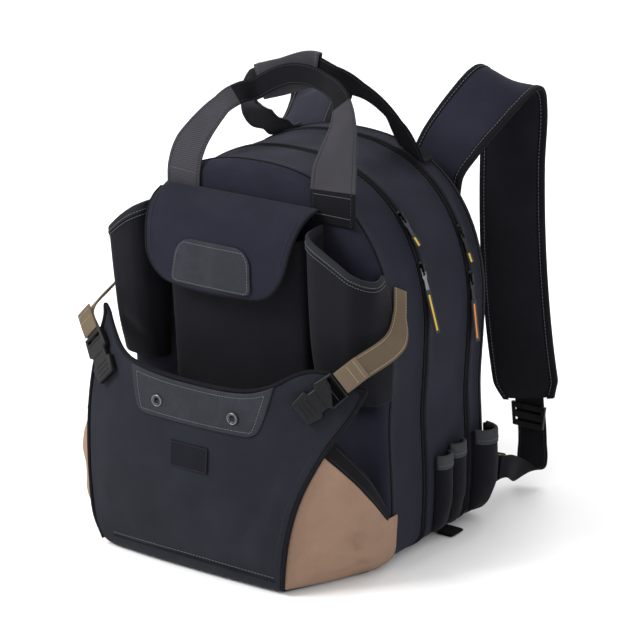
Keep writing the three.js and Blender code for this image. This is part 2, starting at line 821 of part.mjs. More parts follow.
const rearHandleRows = [
  { across: -1, rise: 0.006, reach: 0, ax: 0.9, az: 0.43, width: 0.8 },
  { across: -1, rise: 0.013, reach: 0.137, ax: 0.9, az: 0.43, width: 0.8 },
  { across: -1.01, rise: 0.095, reach: 0.235, ax: 0.9, az: 0.43, width: 0.8 },
  { across: -1.02, rise: 0.16, reach: 0.383, ax: 0.9, az: 0.43, width: 0.8 },
  { across: -0.935, rise: 0.344, reach: 0.613, ax: 0.9, az: 0.43, width: 0.75 },
  { across: -0.84, rise: 0.553, reach: 0.794, ax: 0.8, az: -0.45, width: 0.72 },
  { across: -0.645, rise: 0.763, reach: 0.975, ax: 0, az: -1, width: 0.75 },
  { across: -0.16, rise: 0.924, reach: 1, ax: 0, az: -1, width: 0.75 },
  { across: 0.258, rise: 1.048, reach: 1, ax: 0, az: -1, width: 0.75 },
  { across: 0.54, rise: 0.991, reach: 0.975, ax: 0, az: -1, width: 0.58 },
  { across: 0.7, rise: 0.848, reach: 0.778, ax: -0.8, az: -0.45, width: 0.6 },
  { across: 0.806, rise: 0.686, reach: 0.572, ax: -0.9, az: 0, width: 0.62 },
  { across: 0.914, rise: 0.429, reach: 0.367, ax: -0.9, az: 0.43, width: 0.66 },
  { across: 0.99, rise: 0.13, reach: 0.22, ax: -0.9, az: 0.43, width: 0.8 },
  { across: 1, rise: 0.013, reach: 0.137, ax: -0.9, az: 0.43, width: 0.8 },
  { across: 1, rise: 0.006, reach: 0, ax: -0.9, az: 0.43, width: 0.8 },
];

function handleStations(rows, spread, foot, seat, depth) {
  return rows.map((row) => ({
    x: row.across * spread,
    y: mix(seat, depth, row.reach),
    z: mix(foot, gripHeight, row.rise),
    ax: row.ax,
    ay: 0,
    az: row.az,
    width: row.width * handleWidth,
    thick: handleThickness,
  }));
}

const rearSpread = 93;
const rearLegZ = (() => {
  const share = (1 - (rearSpread / (bodyWidth / 2)) ** archPower) ** (1 / archPower);
  return shoulderHeight + (bodyHeight - shoulderHeight) * share;
})();
const rearFoot = rearLegZ + handleThickness / 2 + 3 * seam;
const rearStations = handleStations(rearHandleRows, rearSpread, rearFoot, rearFace - rearEdge, rearGripDepth);

add(
  "handle_front",
  band(handleStations(frontHandleRows, frontSpread, legTop, onFace, frontGripDepth), 48),
  "ribbed"
);
add("handle_rear", band(rearStations, 48), "webbing");

// The grip wrap is folded over the rear handle's grip, between two of its stations.
// Columns: out is a share of the wrap's half thickness, down a share of its height.
const wrapSection = [
  { out: -1, down: 1 },
  { out: -1, down: 0.1 },
  { out: -0.6, down: 0.02 },
  { out: 0.6, down: 0.02 },
  { out: 1, down: 0.1 },
  { out: 1, down: 1 },
];
const wrapEnds = [6.3, 8.3];
const wrapHalf = handleThickness / 2 + cloth / 2 + 3 * seam;
const wrapCurve = new THREE.CatmullRomCurve3(rearStations.map((s) => at(s.x, s.y, s.z)), false, "centripetal");
const wrapSteps = 10;
const wrapColumns = Array.from({ length: wrapSteps + 1 }, (_, k) => {
  const t = mix(wrapEnds[0], wrapEnds[1], k / wrapSteps) / (rearStations.length - 1);
  const along = wrapCurve.getTangent(t);
  const down = at(0, 0, -1).addScaledVector(along, along.z).normalize();
  return { centre: wrapCurve.getPoint(t), down, out: along.clone().cross(down).normalize() };
});
add(
  "handle_wrap",
  wall(
    wrapSection.map((row) =>
      wrapColumns.map((column) =>
        column.centre
          .clone()
          .addScaledVector(column.down, row.down * wrapHeight - wrapRise)
          .addScaledVector(column.out, row.out * wrapHalf)
      )
    ),
    cloth
  ),
  "ribbed"
);

// Shoulder straps, from the root on the back panel over the ridge down to the pad's end.
// Columns: x is a share of the body's width, out of the straps' reach, z of the body's height.

const strapRows = [
  { x: 0.2667, out: 0.052, z: 0.844, ay: 0, az: 0, width: 0.88 },
  { x: 0.275, out: 0.062, z: 0.906, ay: 0, az: -0.04, width: 0.92 },
  { x: 0.292, out: 0.2, z: 0.963, ay: 0.06, az: -0.16, width: 0.98 },
  { x: 0.325, out: 0.483, z: 1.037, ay: 0.1, az: -0.3, width: 1 },
  { x: 0.364, out: 0.783, z: 1.099, ay: 0.14, az: -0.36, width: 1 },
  { x: 0.379, out: 0.938, z: 1.09, ay: 0.2, az: -0.28, width: 1 },
  { x: 0.381, out: 0.992, z: 1.029, ay: 0.24, az: -0.08, width: 1 },
  { x: 0.381, out: 0.967, z: 0.879, ay: 0.26, az: 0, width: 1 },
  { x: 0.396, out: 0.942, z: 0.659, ay: 0.26, az: 0, width: 1.02 },
  { x: 0.422, out: 0.954, z: 0.44, ay: 0.22, az: 0, width: 1.04 },
  { x: 0.447, out: 0.996, z: 0.281, ay: 0.17, az: 0, width: 1.06 },
  { x: 0.457, out: 1.021, z: 0.233, ay: 0.16, az: 0, width: 0.84 },
];
// The left strap has sunk: what stands above the start keeps only a share of its rise
const sinkStart = 0.923;
const sinkKept = 0.38;

for (const [word, side] of [["left", -1], ["right", 1]]) {
  const stations = strapRows.map((row) => {
    const sunk = side < 0 ? Math.max(row.z - sinkStart, 0) * (1 - sinkKept) : 0;
    return {
      x: side * row.x * bodyWidth,
      y: rearFace + row.out * strapReach,
      z: (row.z - sunk) * bodyHeight,
      ax: side,
      ay: row.ay,
      az: row.az,
      width: row.width * strapWidth,
      thick: strapThickness,
    };
  });
  add(`shoulder_strap_${word}`, band(stations, 26, 8), "darkCloth");

  const slotHeight = 3.6;
  const lockZ = 84;
  const lockY = rearFace + 123;
  const slot = (z) => {
    const hole = new THREE.Path();
    const half = lowerWebbingWidth / 2;
    hole.moveTo(-half, z).lineTo(half, z).lineTo(half, z + slotHeight).lineTo(-half, z + slotHeight).closePath();
    return hole;
  };
  const frame = new THREE.Shape();
  const [lw, lh] = [lowerWebbingWidth / 2 + 5, 15];
  frame.moveTo(-lw, lh).lineTo(-lw + 3, -lh).lineTo(lw - 3, -lh).lineTo(lw, lh).closePath();
  frame.holes.push(slot(4.5), slot(-8));
  const lock = add(
    `ladder_lock_${word}`,
    new THREE.ExtrudeGeometry(frame, { depth: 4, bevelEnabled: false }),
    "plastic"
  );
  lock.rotation.x = Math.PI / 2;
  lock.position.set(side * 166, lockY - 1, lockZ);

  const lower = { ax: side, ay: 0.1, az: 0, width: lowerWebbingWidth, thick: webbing };
  add(
    `strap_webbing_${word}`,
    band(
      [
        { ...lower, x: side * 166, y: lockY + 2, z: lockZ + 10 },
        { ...lower, x: side * 168, y: lockY + 3, z: lockZ - 14 },
        { ...lower, x: side * 171, y: lockY, z: lockZ - 36 },
        { ...lower, x: side * 175, y: lockY - 8, z: 26, ax: side, ay: 0.5 },
        { ...lower, x: side * 178, y: lockY - 26, z: 19, ax: side * 0.7, ay: 0.2, az: 0.5, width: 30 },
        { ...lower, x: side * 181, y: lockY - 52, z: 32, ax: 0.2 * side, ay: 0.2, az: 0.9, width: 30 },
        { ...lower, x: side * 188.4, y: rearFace + 36, z: 50, ax: 0, ay: 0.1, az: 1, width: 28 },
        { ...lower, x: side * 185.4, y: rearFace + 21, z: 52, ax: 0, ay: 0, az: 1, width: 28 },
      ],
      18
    ),
    "webbing"
  );

  const wing = { ax: 0, ay: 0, az: 1, thick: cloth * 1.6 };
  add(
    `wing_${word}`,
    band(
      [
        { ...wing, x: side * 146, y: rearFace + cloth, z: 54, width: 56 },
        { ...wing, x: side * 164, y: rearFace + cloth + 1, z: 54, width: 52 },
        { ...wing, x: side * 178, y: rearFace + 14, z: 53, width: 42 },
        { ...wing, x: side * 184, y: rearFace + 33, z: 51, width: 30 },
      ],
      7
    ),
    "cloth"
  );
}

// Tan webbing straps from under the pouches to the fastened buckles on the apron's horns

for (const [word, side] of [["left", -1], ["right", 1]]) {
  const [spot, share, over] = side < 0 ? [-0.9, 0.86, pipingRadius + cloth / 2] : [0.8, 0.9, pipingRadius + seam];
  const horn = apronPoint(spot, share);
  const sideways = apronPoint(spot + 0.05, share).sub(apronPoint(spot - 0.05, share));
  const upwards = apronPoint(spot, share + 0.05).sub(apronPoint(spot, share - 0.05));
  const facing = sideways.cross(upwards).normalize();
  const centre = horn.addScaledVector(facing, over + buckleThickness / 2);
  const top = at(side * (halfWidth(330) + webbing / 2 + 3 * seam), gussetSeat + tanWebbingWidth / 2, 330);
  const foldAt = at(side * (bodyWidth / 2 + 15), frontFace - 2, 284);
  const run = centre.clone().sub(foldAt);
  run.addScaledVector(facing, -run.dot(facing)).normalize();
  const across = facing.clone().cross(run);
  const flat = { ax: across.x, ay: across.y, az: across.z, width: tanWebbingWidth, thick: webbing };
  const hang = { ax: 0, ay: side, az: 0, width: tanWebbingWidth * 0.8, thick: webbing };
  const end = centre.clone().addScaledVector(run, -buckleLength / 2 - seam);
  const before = centre.clone().addScaledVector(run, -buckleLength / 2 - 24);
  add(
    `strap_${word}`,
    band(
      [
        { ...hang, x: top.x, y: top.y, z: top.z },
        { ...hang, x: mix(top.x, foldAt.x, 0.5), y: mix(top.y, foldAt.y, 0.4), z: mix(top.z, foldAt.z, 0.5) },
        { ...flat, x: foldAt.x, y: foldAt.y, z: foldAt.z },
        { ...flat, x: before.x, y: before.y, z: before.z },
        { ...flat, x: end.x, y: end.y, z: end.z },
      ],
      12
    ),
    "tanWebbing"
  );

  const body = new THREE.Shape();
  const [bw, bl] = [buckleWidth / 2, buckleLength / 2];
  body
    .moveTo(-bw * 0.9, -bl)
    .lineTo(bw * 0.9, -bl)
    .lineTo(bw, -bl * 0.2)
    .lineTo(bw * 0.72, -bl * 0.08)
    .lineTo(bw * 0.72, bl * 0.2)
    .lineTo(bw, bl * 0.32)
    .lineTo(bw * 0.82, bl)
    .lineTo(-bw * 0.82, bl)
    .lineTo(-bw, bl * 0.32)
    .lineTo(-bw * 0.72, bl * 0.2)
    .lineTo(-bw * 0.72, -bl * 0.08)
    .lineTo(-bw, -bl * 0.2)
    .closePath();
  const window = new THREE.Path();
  window
    .moveTo(-bw * 0.7, -bl * 0.84)
    .lineTo(-bw * 0.7, -bl * 0.72)
    .lineTo(bw * 0.7, -bl * 0.72)
    .lineTo(bw * 0.7, -bl * 0.84)
    .closePath();
  body.holes.push(window);
  const buckle = add(
    `buckle_${word}`,
    new THREE.ExtrudeGeometry(body, {
      depth: buckleThickness - 3,
      bevelEnabled: true,
      bevelThickness: 1.5,
      bevelSize: 1.5,
      bevelOffset: -1.5,
      bevelSegments: 1,
    }),
    "plastic"
  );
  const basis = new THREE.Matrix4().makeBasis(run.clone().cross(facing), run, facing);
  buckle.quaternion.setFromRotationMatrix(basis);
  buckle.position.copy(centre).addScaledVector(facing, -buckleThickness / 2 + 1.5);
}

// Narrow pockets on the right side: cloth walls on the shells, open at the top

// Half width at a depth of the rear shell, whose rear edge is rounded.
function sideAt(y, height) {
  const over = Math.max(y - (rearFace - rearEdge), 0);
  return bodySide(height) - (rearEdge - Math.sqrt(Math.max(rearEdge ** 2 - over ** 2, 0)));
}

function sidePocket(front, rear, top, bulge) {
  return wall(
    grid(5, 8, (u, v) => {
      const angle = Math.PI * u;
      const y = mix(front, rear, (1 - Math.cos(angle)) / 2);
      const height = mix(sidePocketBase, top, v ** 1.5);
      const out = bulge * Math.sin(angle) ** 0.7 * mix(0.35, 1, Math.min(v * 2, 1));
      return at(sideAt(y, height) + 2.5 * seam + out, y, height);
    }),
    cloth
  );
}

const penRear1 = middleFront + 16 + penPocketWidth;
const penFront2 = penRear1 + 4;
add("pen_pocket_1", sidePocket(penRear1 - penPocketWidth, penRear1, penPocketHeight, sidePocketBulge), "darkCloth");
add(
  "pen_pocket_2",
  sidePocket(penFront2, Math.min(penFront2 + penPocketWidth, middleRear - 4), penPocketHeight + 6, sidePocketBulge),
  "darkCloth"
);
add("knife_pocket", sidePocket(rearMouth + 3, rearFace - 6, knifePocketHeight, knifePocketBulge), "darkCloth");

// Small webbing tab at the base of the middle shell
const tabReach = 24;
const baseTab = new THREE.BoxGeometry(tabReach, 24, 3.4);
add("base_tab", baseTab, "webbing").position.set(bodySide(4) + seam + tabReach / 2, 16, 2.4);

// Zip closers on the right side: a slider on the zip and a puller that swings on its bridge

function archFrame(step) {
  const a = (step / 9) * (Math.PI / 2);
  const [half, rise] = [bodyWidth / 2 - zipSink, bodyHeight - zipSink - shoulderHeight];
  const [c, s] = [Math.cos(a) ** (2 / archPower), Math.sin(a) ** (2 / archPower)];
  const z = shoulderHeight + rise * s;
  const normal = at(c ** (archPower - 1) / half, 0, s ** (archPower - 1) / rise).normalize();
  return { x: half * c + fold(z) * c ** 4, z, normal };
}

function sliderGeometry() {
  const plan = new THREE.Shape();
  const [w, l] = [sliderWidth / 2, sliderLength / 2];
  plan.moveTo(-w * 0.6, -l).lineTo(w * 0.6, -l).lineTo(w * 0.7, 0).lineTo(w, l * 0.5);
  plan.lineTo(w * 0.55, l).lineTo(-w * 0.55, l).lineTo(-w, l * 0.5).lineTo(-w * 0.7, 0).closePath();
  const base = new THREE.ExtrudeGeometry(plan, { depth: 3, bevelEnabled: false });
  base.translate(0, 0, seam);
  const arch = new THREE.Shape();
  arch.moveTo(-5.5, 2.9).lineTo(5.5, 2.9).lineTo(4.6, 7.6).lineTo(-4.6, 7.6).closePath();
  const hole = new THREE.Path();
  hole.moveTo(-2.6, 3.4).lineTo(-2.6, 6.2).lineTo(2.6, 6.2).lineTo(2.6, 3.4).closePath();
  arch.holes.push(hole);
  const bridge = new THREE.ExtrudeGeometry(arch, { depth: bridgeWidth, bevelEnabled: false });
  // The bridge's outline is in (along, up); it stands on the base, across its middle.
  bridge.applyMatrix4(new THREE.Matrix4().makeBasis(at(0, 1, 0), at(0, 0, 1), at(1, 0, 0)));
  bridge.translate(-bridgeWidth / 2, 0, 0);
  return fromManifold(toManifold(base).add(toManifold(bridge)));
}

const hingeHeight = 4.8;
const barSize = 1.6;

function pullGeometry(length) {
  const plate = new THREE.Shape();
  const w = pullWidth / 2;
  plate.moveTo(-w, barSize / 2).lineTo(-w, -length * 0.4).lineTo(-w * 0.62, -length * 0.55);
  plate.lineTo(-w * 0.75, -length).lineTo(w * 0.75, -length).lineTo(w * 0.62, -length * 0.55);
  plate.lineTo(w, -length * 0.4).lineTo(w, barSize / 2).closePath();
  const window = new THREE.Path();
  const gap = bridgeWidth / 2 + 0.45;
  window.moveTo(-gap, -barSize / 2).lineTo(gap, -barSize / 2).lineTo(gap, -9).lineTo(-gap, -9).closePath();
  plate.holes.push(window);
  const geometry = new THREE.ExtrudeGeometry(plate, { depth: barSize, bevelEnabled: false });
  geometry.translate(0, 0, hingeHeight - barSize / 2);
  return geometry;
}

const zipCentres = { front: zipFrontCentre, rear: zipRearCentre };
const closers = [
  { word: "front", number: 1, step: 4, tab: 12 },
  { word: "front", number: 2, step: 2, tab: 50 },
  { word: "rear", number: 1, step: 2.65, tab: 12 },
  { word: "rear", number: 2, step: 1, tab: 50 },
];

for (const { word, number, step, tab } of closers) {
  const { x, z, normal } = archFrame(step);
  const seat = new THREE.Group();
  const up = at(0, 1, 0).cross(normal).negate();
  // Local axes: x across the zip, y up along it, z out of the bag.
  seat.quaternion.setFromRotationMatrix(new THREE.Matrix4().makeBasis(up.clone().cross(normal), up, normal));
  seat.position.set(x, zipCentres[word], z);
  bag.add(seat);
  add(`zip_slider_${word}_${number}`, sliderGeometry(), "plastic", seat);
  add(`zip_pull_${word}_${number}`, pullGeometry(pullLength), "metal", seat);
  const strip = new THREE.BoxGeometry(tabWidth, tab, tabThickness);
  const hanging = add(`zip_tab_${word}_${number}`, strip, "webbing", seat);
  hanging.position.set(0, -pullLength - seam - tab / 2, hingeHeight);
}

export default bag;
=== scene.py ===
"""The looks of a tool backpack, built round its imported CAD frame. Shapes are worked out in millimetres."""
import logging
import math
from dataclasses import dataclass
from enum import Enum

import bmesh
import bpy
import numpy as np
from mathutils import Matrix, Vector


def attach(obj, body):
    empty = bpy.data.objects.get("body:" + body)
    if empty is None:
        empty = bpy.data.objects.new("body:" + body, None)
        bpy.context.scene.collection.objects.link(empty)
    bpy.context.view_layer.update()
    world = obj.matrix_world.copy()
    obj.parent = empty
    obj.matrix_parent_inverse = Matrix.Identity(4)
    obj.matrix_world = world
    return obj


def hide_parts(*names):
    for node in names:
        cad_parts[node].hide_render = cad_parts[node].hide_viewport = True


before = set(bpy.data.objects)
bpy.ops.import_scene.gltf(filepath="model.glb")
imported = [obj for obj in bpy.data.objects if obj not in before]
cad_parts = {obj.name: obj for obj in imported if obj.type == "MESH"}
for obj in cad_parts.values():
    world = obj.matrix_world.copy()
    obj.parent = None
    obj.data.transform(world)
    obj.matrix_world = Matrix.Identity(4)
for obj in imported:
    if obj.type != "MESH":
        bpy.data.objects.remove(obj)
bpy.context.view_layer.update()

LOG = logging.getLogger("tool_backpack")
MM = 0.001
Table = dict[str, list[float]]
Colour = tuple[float, float, float]
FORWARD = (0.0, -1.0, 0.0)
SIDEWAYS = (0.0, 1.0, 0.0)


# Shader expressions


class Flow:
    """A shader socket whose arithmetic adds Math nodes."""

    def __init__(self, bench: "Bench", socket: bpy.types.NodeSocket) -> None:
        """Keeps the socket and the bench that its nodes are made on."""
        self.bench = bench
        self.socket = socket

    def _math(self, operation: str, *values: "Flow | float") -> "Flow":
        """Adds one Math node.

        Args:
            operation: the node's operation.
            values: its inputs in order, sockets or numbers.

        Returns:
            The node's value.
        """
        return self.bench.node("ShaderNodeMath", {"operation": operation}, dict(enumerate(values)))

    def __add__(self, other: "Flow | float") -> "Flow":
        """Sum."""
        return self._math("ADD", self, other)

    __radd__ = __add__

    def __sub__(self, other: "Flow | float") -> "Flow":
        """Difference."""
        return self._math("SUBTRACT", self, other)

    def __rsub__(self, other: float) -> "Flow":
        """Difference from a number."""
        return self._math("SUBTRACT", other, self)

    def __mul__(self, other: "Flow | float") -> "Flow":
        """Product."""
        return self._math("MULTIPLY", self, other)

    __rmul__ = __mul__

    def __truediv__(self, other: "Flow | float") -> "Flow":
        """Quotient."""
        return self._math("DIVIDE", self, other)

    def __pow__(self, other: float) -> "Flow":
        """Power."""
        return self._math("POWER", self, other)

    def sine(self) -> "Flow":
        """Sine of a value in radians."""
        return self._math("SINE", self)

    def size(self) -> "Flow":
        """Value without its sign."""
        return self._math("ABSOLUTE", self)

    def whole(self) -> "Flow":
        """Whole number below."""
        return self._math("FLOOR", self)

    def odd(self) -> "Flow":
        """0 on even whole numbers and 1 on odd ones."""
        return self._math("FLOORED_MODULO", self, 2.0)

    def over(self, edge: float) -> "Flow":
        """1 where the value is above the edge."""
        return self._math("GREATER_THAN", self, edge)

    def bounded(self) -> "Flow":
        """Value held between 0 and 1."""
        return self._math("MINIMUM", self._math("MAXIMUM", self, 0.0), 1.0)


class Bench:
    """Makes one material's nodes."""

    def __init__(self, name: str) -> None:
        """Starts a node material with a single Principled shader."""
        self.material = bpy.data.materials.new(name)
        self.material.use_nodes = True
        self.tree = self.material.node_tree
        self.shader = self.tree.nodes["Principled BSDF"]

    def node(self, kind: str, settings: dict, inputs: dict, output: int | str = 0) -> Flow:
        """Adds any node.

        Args:
            kind: the node's type.
            settings: properties that are set first; "stops" fills a colour ramp.
            inputs: values or sockets by input name or number.
            output: the output that is wanted.

        Returns:
            That output.
        """
        made = self.tree.nodes.new(kind)
        for key, value in settings.items():
            if key == "stops":
                for n, (place, colour) in enumerate(value):
                    stop = made.color_ramp.elements[n] if n < 2 else made.color_ramp.elements.new(place)
                    stop.position = place
                    stop.color = (*colour, 1.0)
            else:
                setattr(made, key, value)
        for key, value in inputs.items():
            self.feed(made.inputs[key], value)
        return Flow(self, made.outputs[output])

    def feed(self, socket: bpy.types.NodeSocket, value: "Flow | float | tuple") -> None:
        """Links or sets one input socket."""
        if isinstance(value, Flow):
            self.tree.links.new(value.socket, socket)
        elif isinstance(value, tuple) and socket.type == "RGBA":
            socket.default_value = (*value[:3], 1.0)
        else:
            socket.default_value = value

    def blend(self, low: "Flow | Colour", high: "Flow | Colour", factor: "Flow | float") -> Flow:
        """Mixes two colours by a factor."""
        return self.node("ShaderNodeMix", {"data_type": "RGBA"}, {0: factor, 6: low, 7: high}, 2)

    def place(self) -> Flow:
        """Object coordinates."""
        return self.node("ShaderNodeTexCoord", {}, {}, "Object")

    def laid(self) -> tuple[Flow, Flow]:
        """The piece's own lay: metres along and across its cloth."""
        flat = self.node("ShaderNodeUVMap", {"uv_map": "Lay"}, {})
        parts = self.node("ShaderNodeSeparateXYZ", {}, {0: flat})
        return parts, Flow(self, parts.socket.node.outputs[1])

    def noise(self, scale: float, detail: float = 3.0, rough: float = 0.55) -> Flow:
        """Smooth noise on object coordinates, about 0.5 on average."""
        inputs = {"Vector": self.place(), "Scale": scale, "Detail": detail, "Roughness": rough}
        return self.node("ShaderNodeTexNoise", {}, inputs)

    def finish(
        self, colour: Flow, rough: "Flow | float", height: Flow, depth: float, strength: float = 1.0
    ) -> None:
        """Feeds the shader.

        Args:
            colour: the base colour.
            rough: the roughness.
            height: the relief, 0 to 1.
            depth: the relief's height in metres.
            strength: the bump's strength.
        """
        bump = self.node("ShaderNodeBump", {}, {"Strength": strength, "Distance": depth, "Height": height})
        self.feed(self.shader.inputs["Base Color"], colour)
        self.feed(self.shader.inputs["Roughness"], rough)
        self.feed(self.shader.inputs["Normal"], bump)

    def settle(self, **constants: float) -> None:
        """Sets constant values on the shader's own sockets."""
        for name, value in constants.items():
            self.feed(self.shader.inputs[name.replace("_", " ").title().replace("Ior", "IOR")], value)


# Finishes


@dataclass(frozen=True)
class Finish:
    """A finish: its name, a slot name that is not used, and its two main colours."""

    name: str
    slot: str
    deep: Colour
    lit: Colour

    def material(self) -> bpy.types.Material:
        """The finish's material, made once."""
        known = bpy.data.materials.get(self.name)
        if known:
            return known
        bench = Bench(self.name)
        self.dress(bench)
        return bench.material

    def dress(self, bench: Bench) -> None:
        """Builds the nodes."""
        raise NotImplementedError


@dataclass(frozen=True)
class WovenCloth(Finish):
    """Plain weave: two threads that pass over each other by turns."""

    pitch: float = 0.0009
    relief: float = 0.00022
    fuzz: float = 0.04
    wear: float = 0.5

    def dress(self, bench: Bench) -> None:
        """Threads along u and v, raised by turns on a chequer; dust and fading in broad noise."""
        along, across = bench.laid()
        warp = (along * (math.pi / self.pitch)).sine().size()
        weft = (across * (math.pi / self.pitch)).sine().size()
        turn = ((along / self.pitch).whole() + (across / self.pitch).whole()).odd()
        weave = warp * turn + weft * (1 - turn)
        slub = bench.noise(900.0, 2.0)
        dust = bench.noise(14.0, 5.0, 0.62)
        fade = ((dust - 0.42) * 3.2).bounded() * self.wear
        tone = (weave * 0.34 + slub * 0.4 + fade * 0.5).bounded()
        colour = bench.blend(self.deep, self.lit, tone)
        bench.settle(sheen_weight=self.fuzz, sheen_roughness=0.45, specular_ior_level=0.06)
        bench.finish(colour, 0.92 - fade * 0.12, weave + slub * 0.35, self.relief, 0.55)


@dataclass(frozen=True)
class RibbedWebbing(Finish):
    """Webbing: ribs across its width with a fine herringbone in them."""

    pitch: float = 0.0024
    relief: float = 0.0004
    contrast: float = 0.5

    def dress(self, bench: Bench) -> None:
        """Ribs are a rounded wave of u; each is crossed by fine threads of v."""
        along, across = bench.laid()
        rib = (along * (math.pi / self.pitch)).sine().size() ** 0.6
        thread = (across * (math.pi / 0.0011) + along * 900.0).sine().size()
        grime = ((bench.noise(22.0, 4.0) - 0.4) * 2.4).bounded()
        tone = (rib * self.contrast + thread * 0.22 + grime * 0.25).bounded()
        colour = bench.blend(self.deep, self.lit, tone)
        bench.settle(sheen_weight=0.02, sheen_roughness=0.4, specular_ior_level=0.05)
        bench.finish(colour, 0.86 - grime * 0.1, rib + thread * 0.3, self.relief, 0.7)


@dataclass(frozen=True)
class GrainLeather(Finish):
    """Leather-like patch: small cells, fine creases and a dull shine."""

    cell: float = 520.0

    def dress(self, bench: Bench) -> None:
        """Cells from Voronoi, creases from noise, paler where rubbed."""
        inputs = {"Vector": bench.place(), "Scale": self.cell}
        cells = bench.node("ShaderNodeTexVoronoi", {}, inputs, "Distance")
        crease = bench.noise(120.0, 6.0, 0.6)
        rub = ((bench.noise(30.0, 3.0) - 0.45) * 3.0).bounded()
        tone = (cells * 0.35 + crease * 0.35 + rub * 0.35).bounded()
        colour = bench.blend(self.deep, self.lit, tone)
        bench.settle(specular_ior_level=0.14)
        bench.finish(colour, 0.62 + cells * 0.12 - rub * 0.1, cells + crease * 0.5, 0.00025, 0.5)


@dataclass(frozen=True)
class MouldedPlastic(Finish):
    """Moulded plastic: a faint spark texture and scuffs."""

    rough: float = 0.42

    def dress(self, bench: Bench) -> None:
        """Fine noise for the texture, broad noise for scuffs."""
        spark = bench.noise(1400.0, 2.0)
        scuff = ((bench.noise(60.0, 5.0, 0.7) - 0.5) * 3.5).bounded()
        colour = bench.blend(self.deep, self.lit, (spark * 0.3 + scuff * 0.5).bounded())
        bench.settle(specular_ior_level=0.18)
        bench.finish(colour, self.rough + scuff * 0.2, spark, 0.00008, 0.4)


@dataclass(frozen=True)
class SatinMetal(Finish):
    """Satin metal: fine scratches over a plated surface."""

    shine: float = 0.36

    def dress(self, bench: Bench) -> None:
        """Scratches from stretched noise, darker where worn through."""
        scratch = bench.noise(700.0, 4.0, 0.7)
        worn = ((bench.noise(160.0, 3.0) - 0.5) * 4.0).bounded()
        colour = bench.blend(self.deep, self.lit, (scratch * 0.7 + 0.2 - worn * 0.3).bounded())
        bench.settle(metallic=1.0)
        bench.finish(colour, self.shine + scratch * 0.2, scratch, 0.00005, 0.35)


@dataclass(frozen=True)
class TwistedThread(Finish):
    """Sewing thread: a slanted twist."""

    def dress(self, bench: Bench) -> None:
        """The twist is a sine of u and v together."""
        along, across = bench.laid()
        twist = (along * 7000.0 + across * 5000.0).sine().size()
        soil = bench.noise(40.0, 2.0)
        colour = bench.blend(self.deep, self.lit, (twist * 0.5 + soil * 0.5).bounded())
        bench.settle(specular_ior_level=0.2)
        bench.finish(colour, 0.7 + soil * 0.1, twist, 0.0001, 0.4)


@dataclass(frozen=True)
class StripedTape(Finish):
    """A tab of woven tape with one coloured stripe down its middle."""

    stripe: Colour = (0.6, 0.4, 0.03)
    edges: tuple[float, float] = (0.26, 0.62)
    ends: tuple[float, float] = (0.1, 0.92)

    def dress(self, bench: Bench) -> None:
        """The stripe lies between shares of the tab's width and length, read from its own lay."""
        along, across = bench.laid()
        rib = (along * 60.0).sine().size()
        held = across.over(self.edges[0]) * (1 - across.over(self.edges[1]))
        held = held * along.over(self.ends[0]) * (1 - along.over(self.ends[1]))
        soil = bench.noise(300.0, 3.0)
        cloth = bench.blend(self.deep, self.lit, (rib * 0.5 + soil * 0.4).bounded())
        colour = bench.blend(cloth, self.stripe, held * (0.75 + soil * 0.25))
        bench.finish(colour, 0.8 + rib * 0.05, rib, 0.0002, 0.5)


@dataclass(frozen=True)
class StudioFloor(Finish):
    """Pale studio paper."""

    def dress(self, bench: Bench) -> None:
        """Barely uneven pale tone."""
        mottle = bench.noise(3.0, 2.0)
        bench.finish(bench.blend(self.deep, self.lit, mottle), 0.95 - mottle * 0.02, mottle, 0.0001, 0.1)


NAVY = WovenCloth("navy cloth", "navy_cloth", (0.0058, 0.0058, 0.0105), (0.022, 0.022, 0.0365))
PANEL = WovenCloth(
    "apron cloth", "navy_cloth", (0.0062, 0.0068, 0.0095), (0.0215, 0.0232, 0.031), pitch=0.0011
)
DARK = WovenCloth("dark cloth", "dark_cloth", (0.0032, 0.0032, 0.0045), (0.0125, 0.0125, 0.0165), wear=0.35)
TAN = WovenCloth(
    "tan cloth", "tan_cloth", (0.135, 0.084, 0.059), (0.35, 0.226, 0.163), pitch=0.0008, wear=0.4
)
MESH_CLOTH = WovenCloth(
    "spacer cloth", "dark_cloth", (0.0032, 0.0032, 0.0045), (0.015, 0.015, 0.019), pitch=0.0024
)
LABEL_CLOTH = WovenCloth(
    "label cloth", "black_webbing", (0.0035, 0.0035, 0.0055), (0.011, 0.011, 0.017), pitch=0.0006
)
BLACK_WEB = RibbedWebbing(
    "black webbing", "black_webbing", (0.0022, 0.0022, 0.0028), (0.0105, 0.0105, 0.0128), pitch=0.0018
)
GREY_WEB = RibbedWebbing(
    "grey webbing", "grey_webbing", (0.0055, 0.0054, 0.0066), (0.05, 0.048, 0.056), contrast=0.7
)
WRAP_CLOTH = WovenCloth(
    "wrap cloth", "grey_webbing", (0.015, 0.015, 0.0175), (0.06, 0.06, 0.067), pitch=0.0012
)
TAN_WEB = RibbedWebbing(
    "tan webbing", "tan_webbing", (0.048, 0.0365, 0.0245), (0.15, 0.115, 0.08), pitch=0.002
)
GREY_TAPE = RibbedWebbing(
    "grey binding", "grey_binding", (0.014, 0.0145, 0.0155), (0.058, 0.06, 0.064), pitch=0.0013
)
DARK_TAPE = RibbedWebbing(
    "dark binding", "grey_binding", (0.005, 0.005, 0.0065), (0.026, 0.027, 0.032), pitch=0.0013
)
PIPING = RibbedWebbing(
    "black piping", "black_webbing", (0.0028, 0.0028, 0.0038), (0.012, 0.012, 0.015), pitch=0.0012
)
LEATHER = GrainLeather("patch leather", "patch_leather", (0.0095, 0.0108, 0.0138), (0.0245, 0.0275, 0.0355))
BLACK_PLASTIC = MouldedPlastic(
    "black plastic", "black_plastic", (0.0022, 0.0022, 0.0028), (0.011, 0.0115, 0.0135)
)
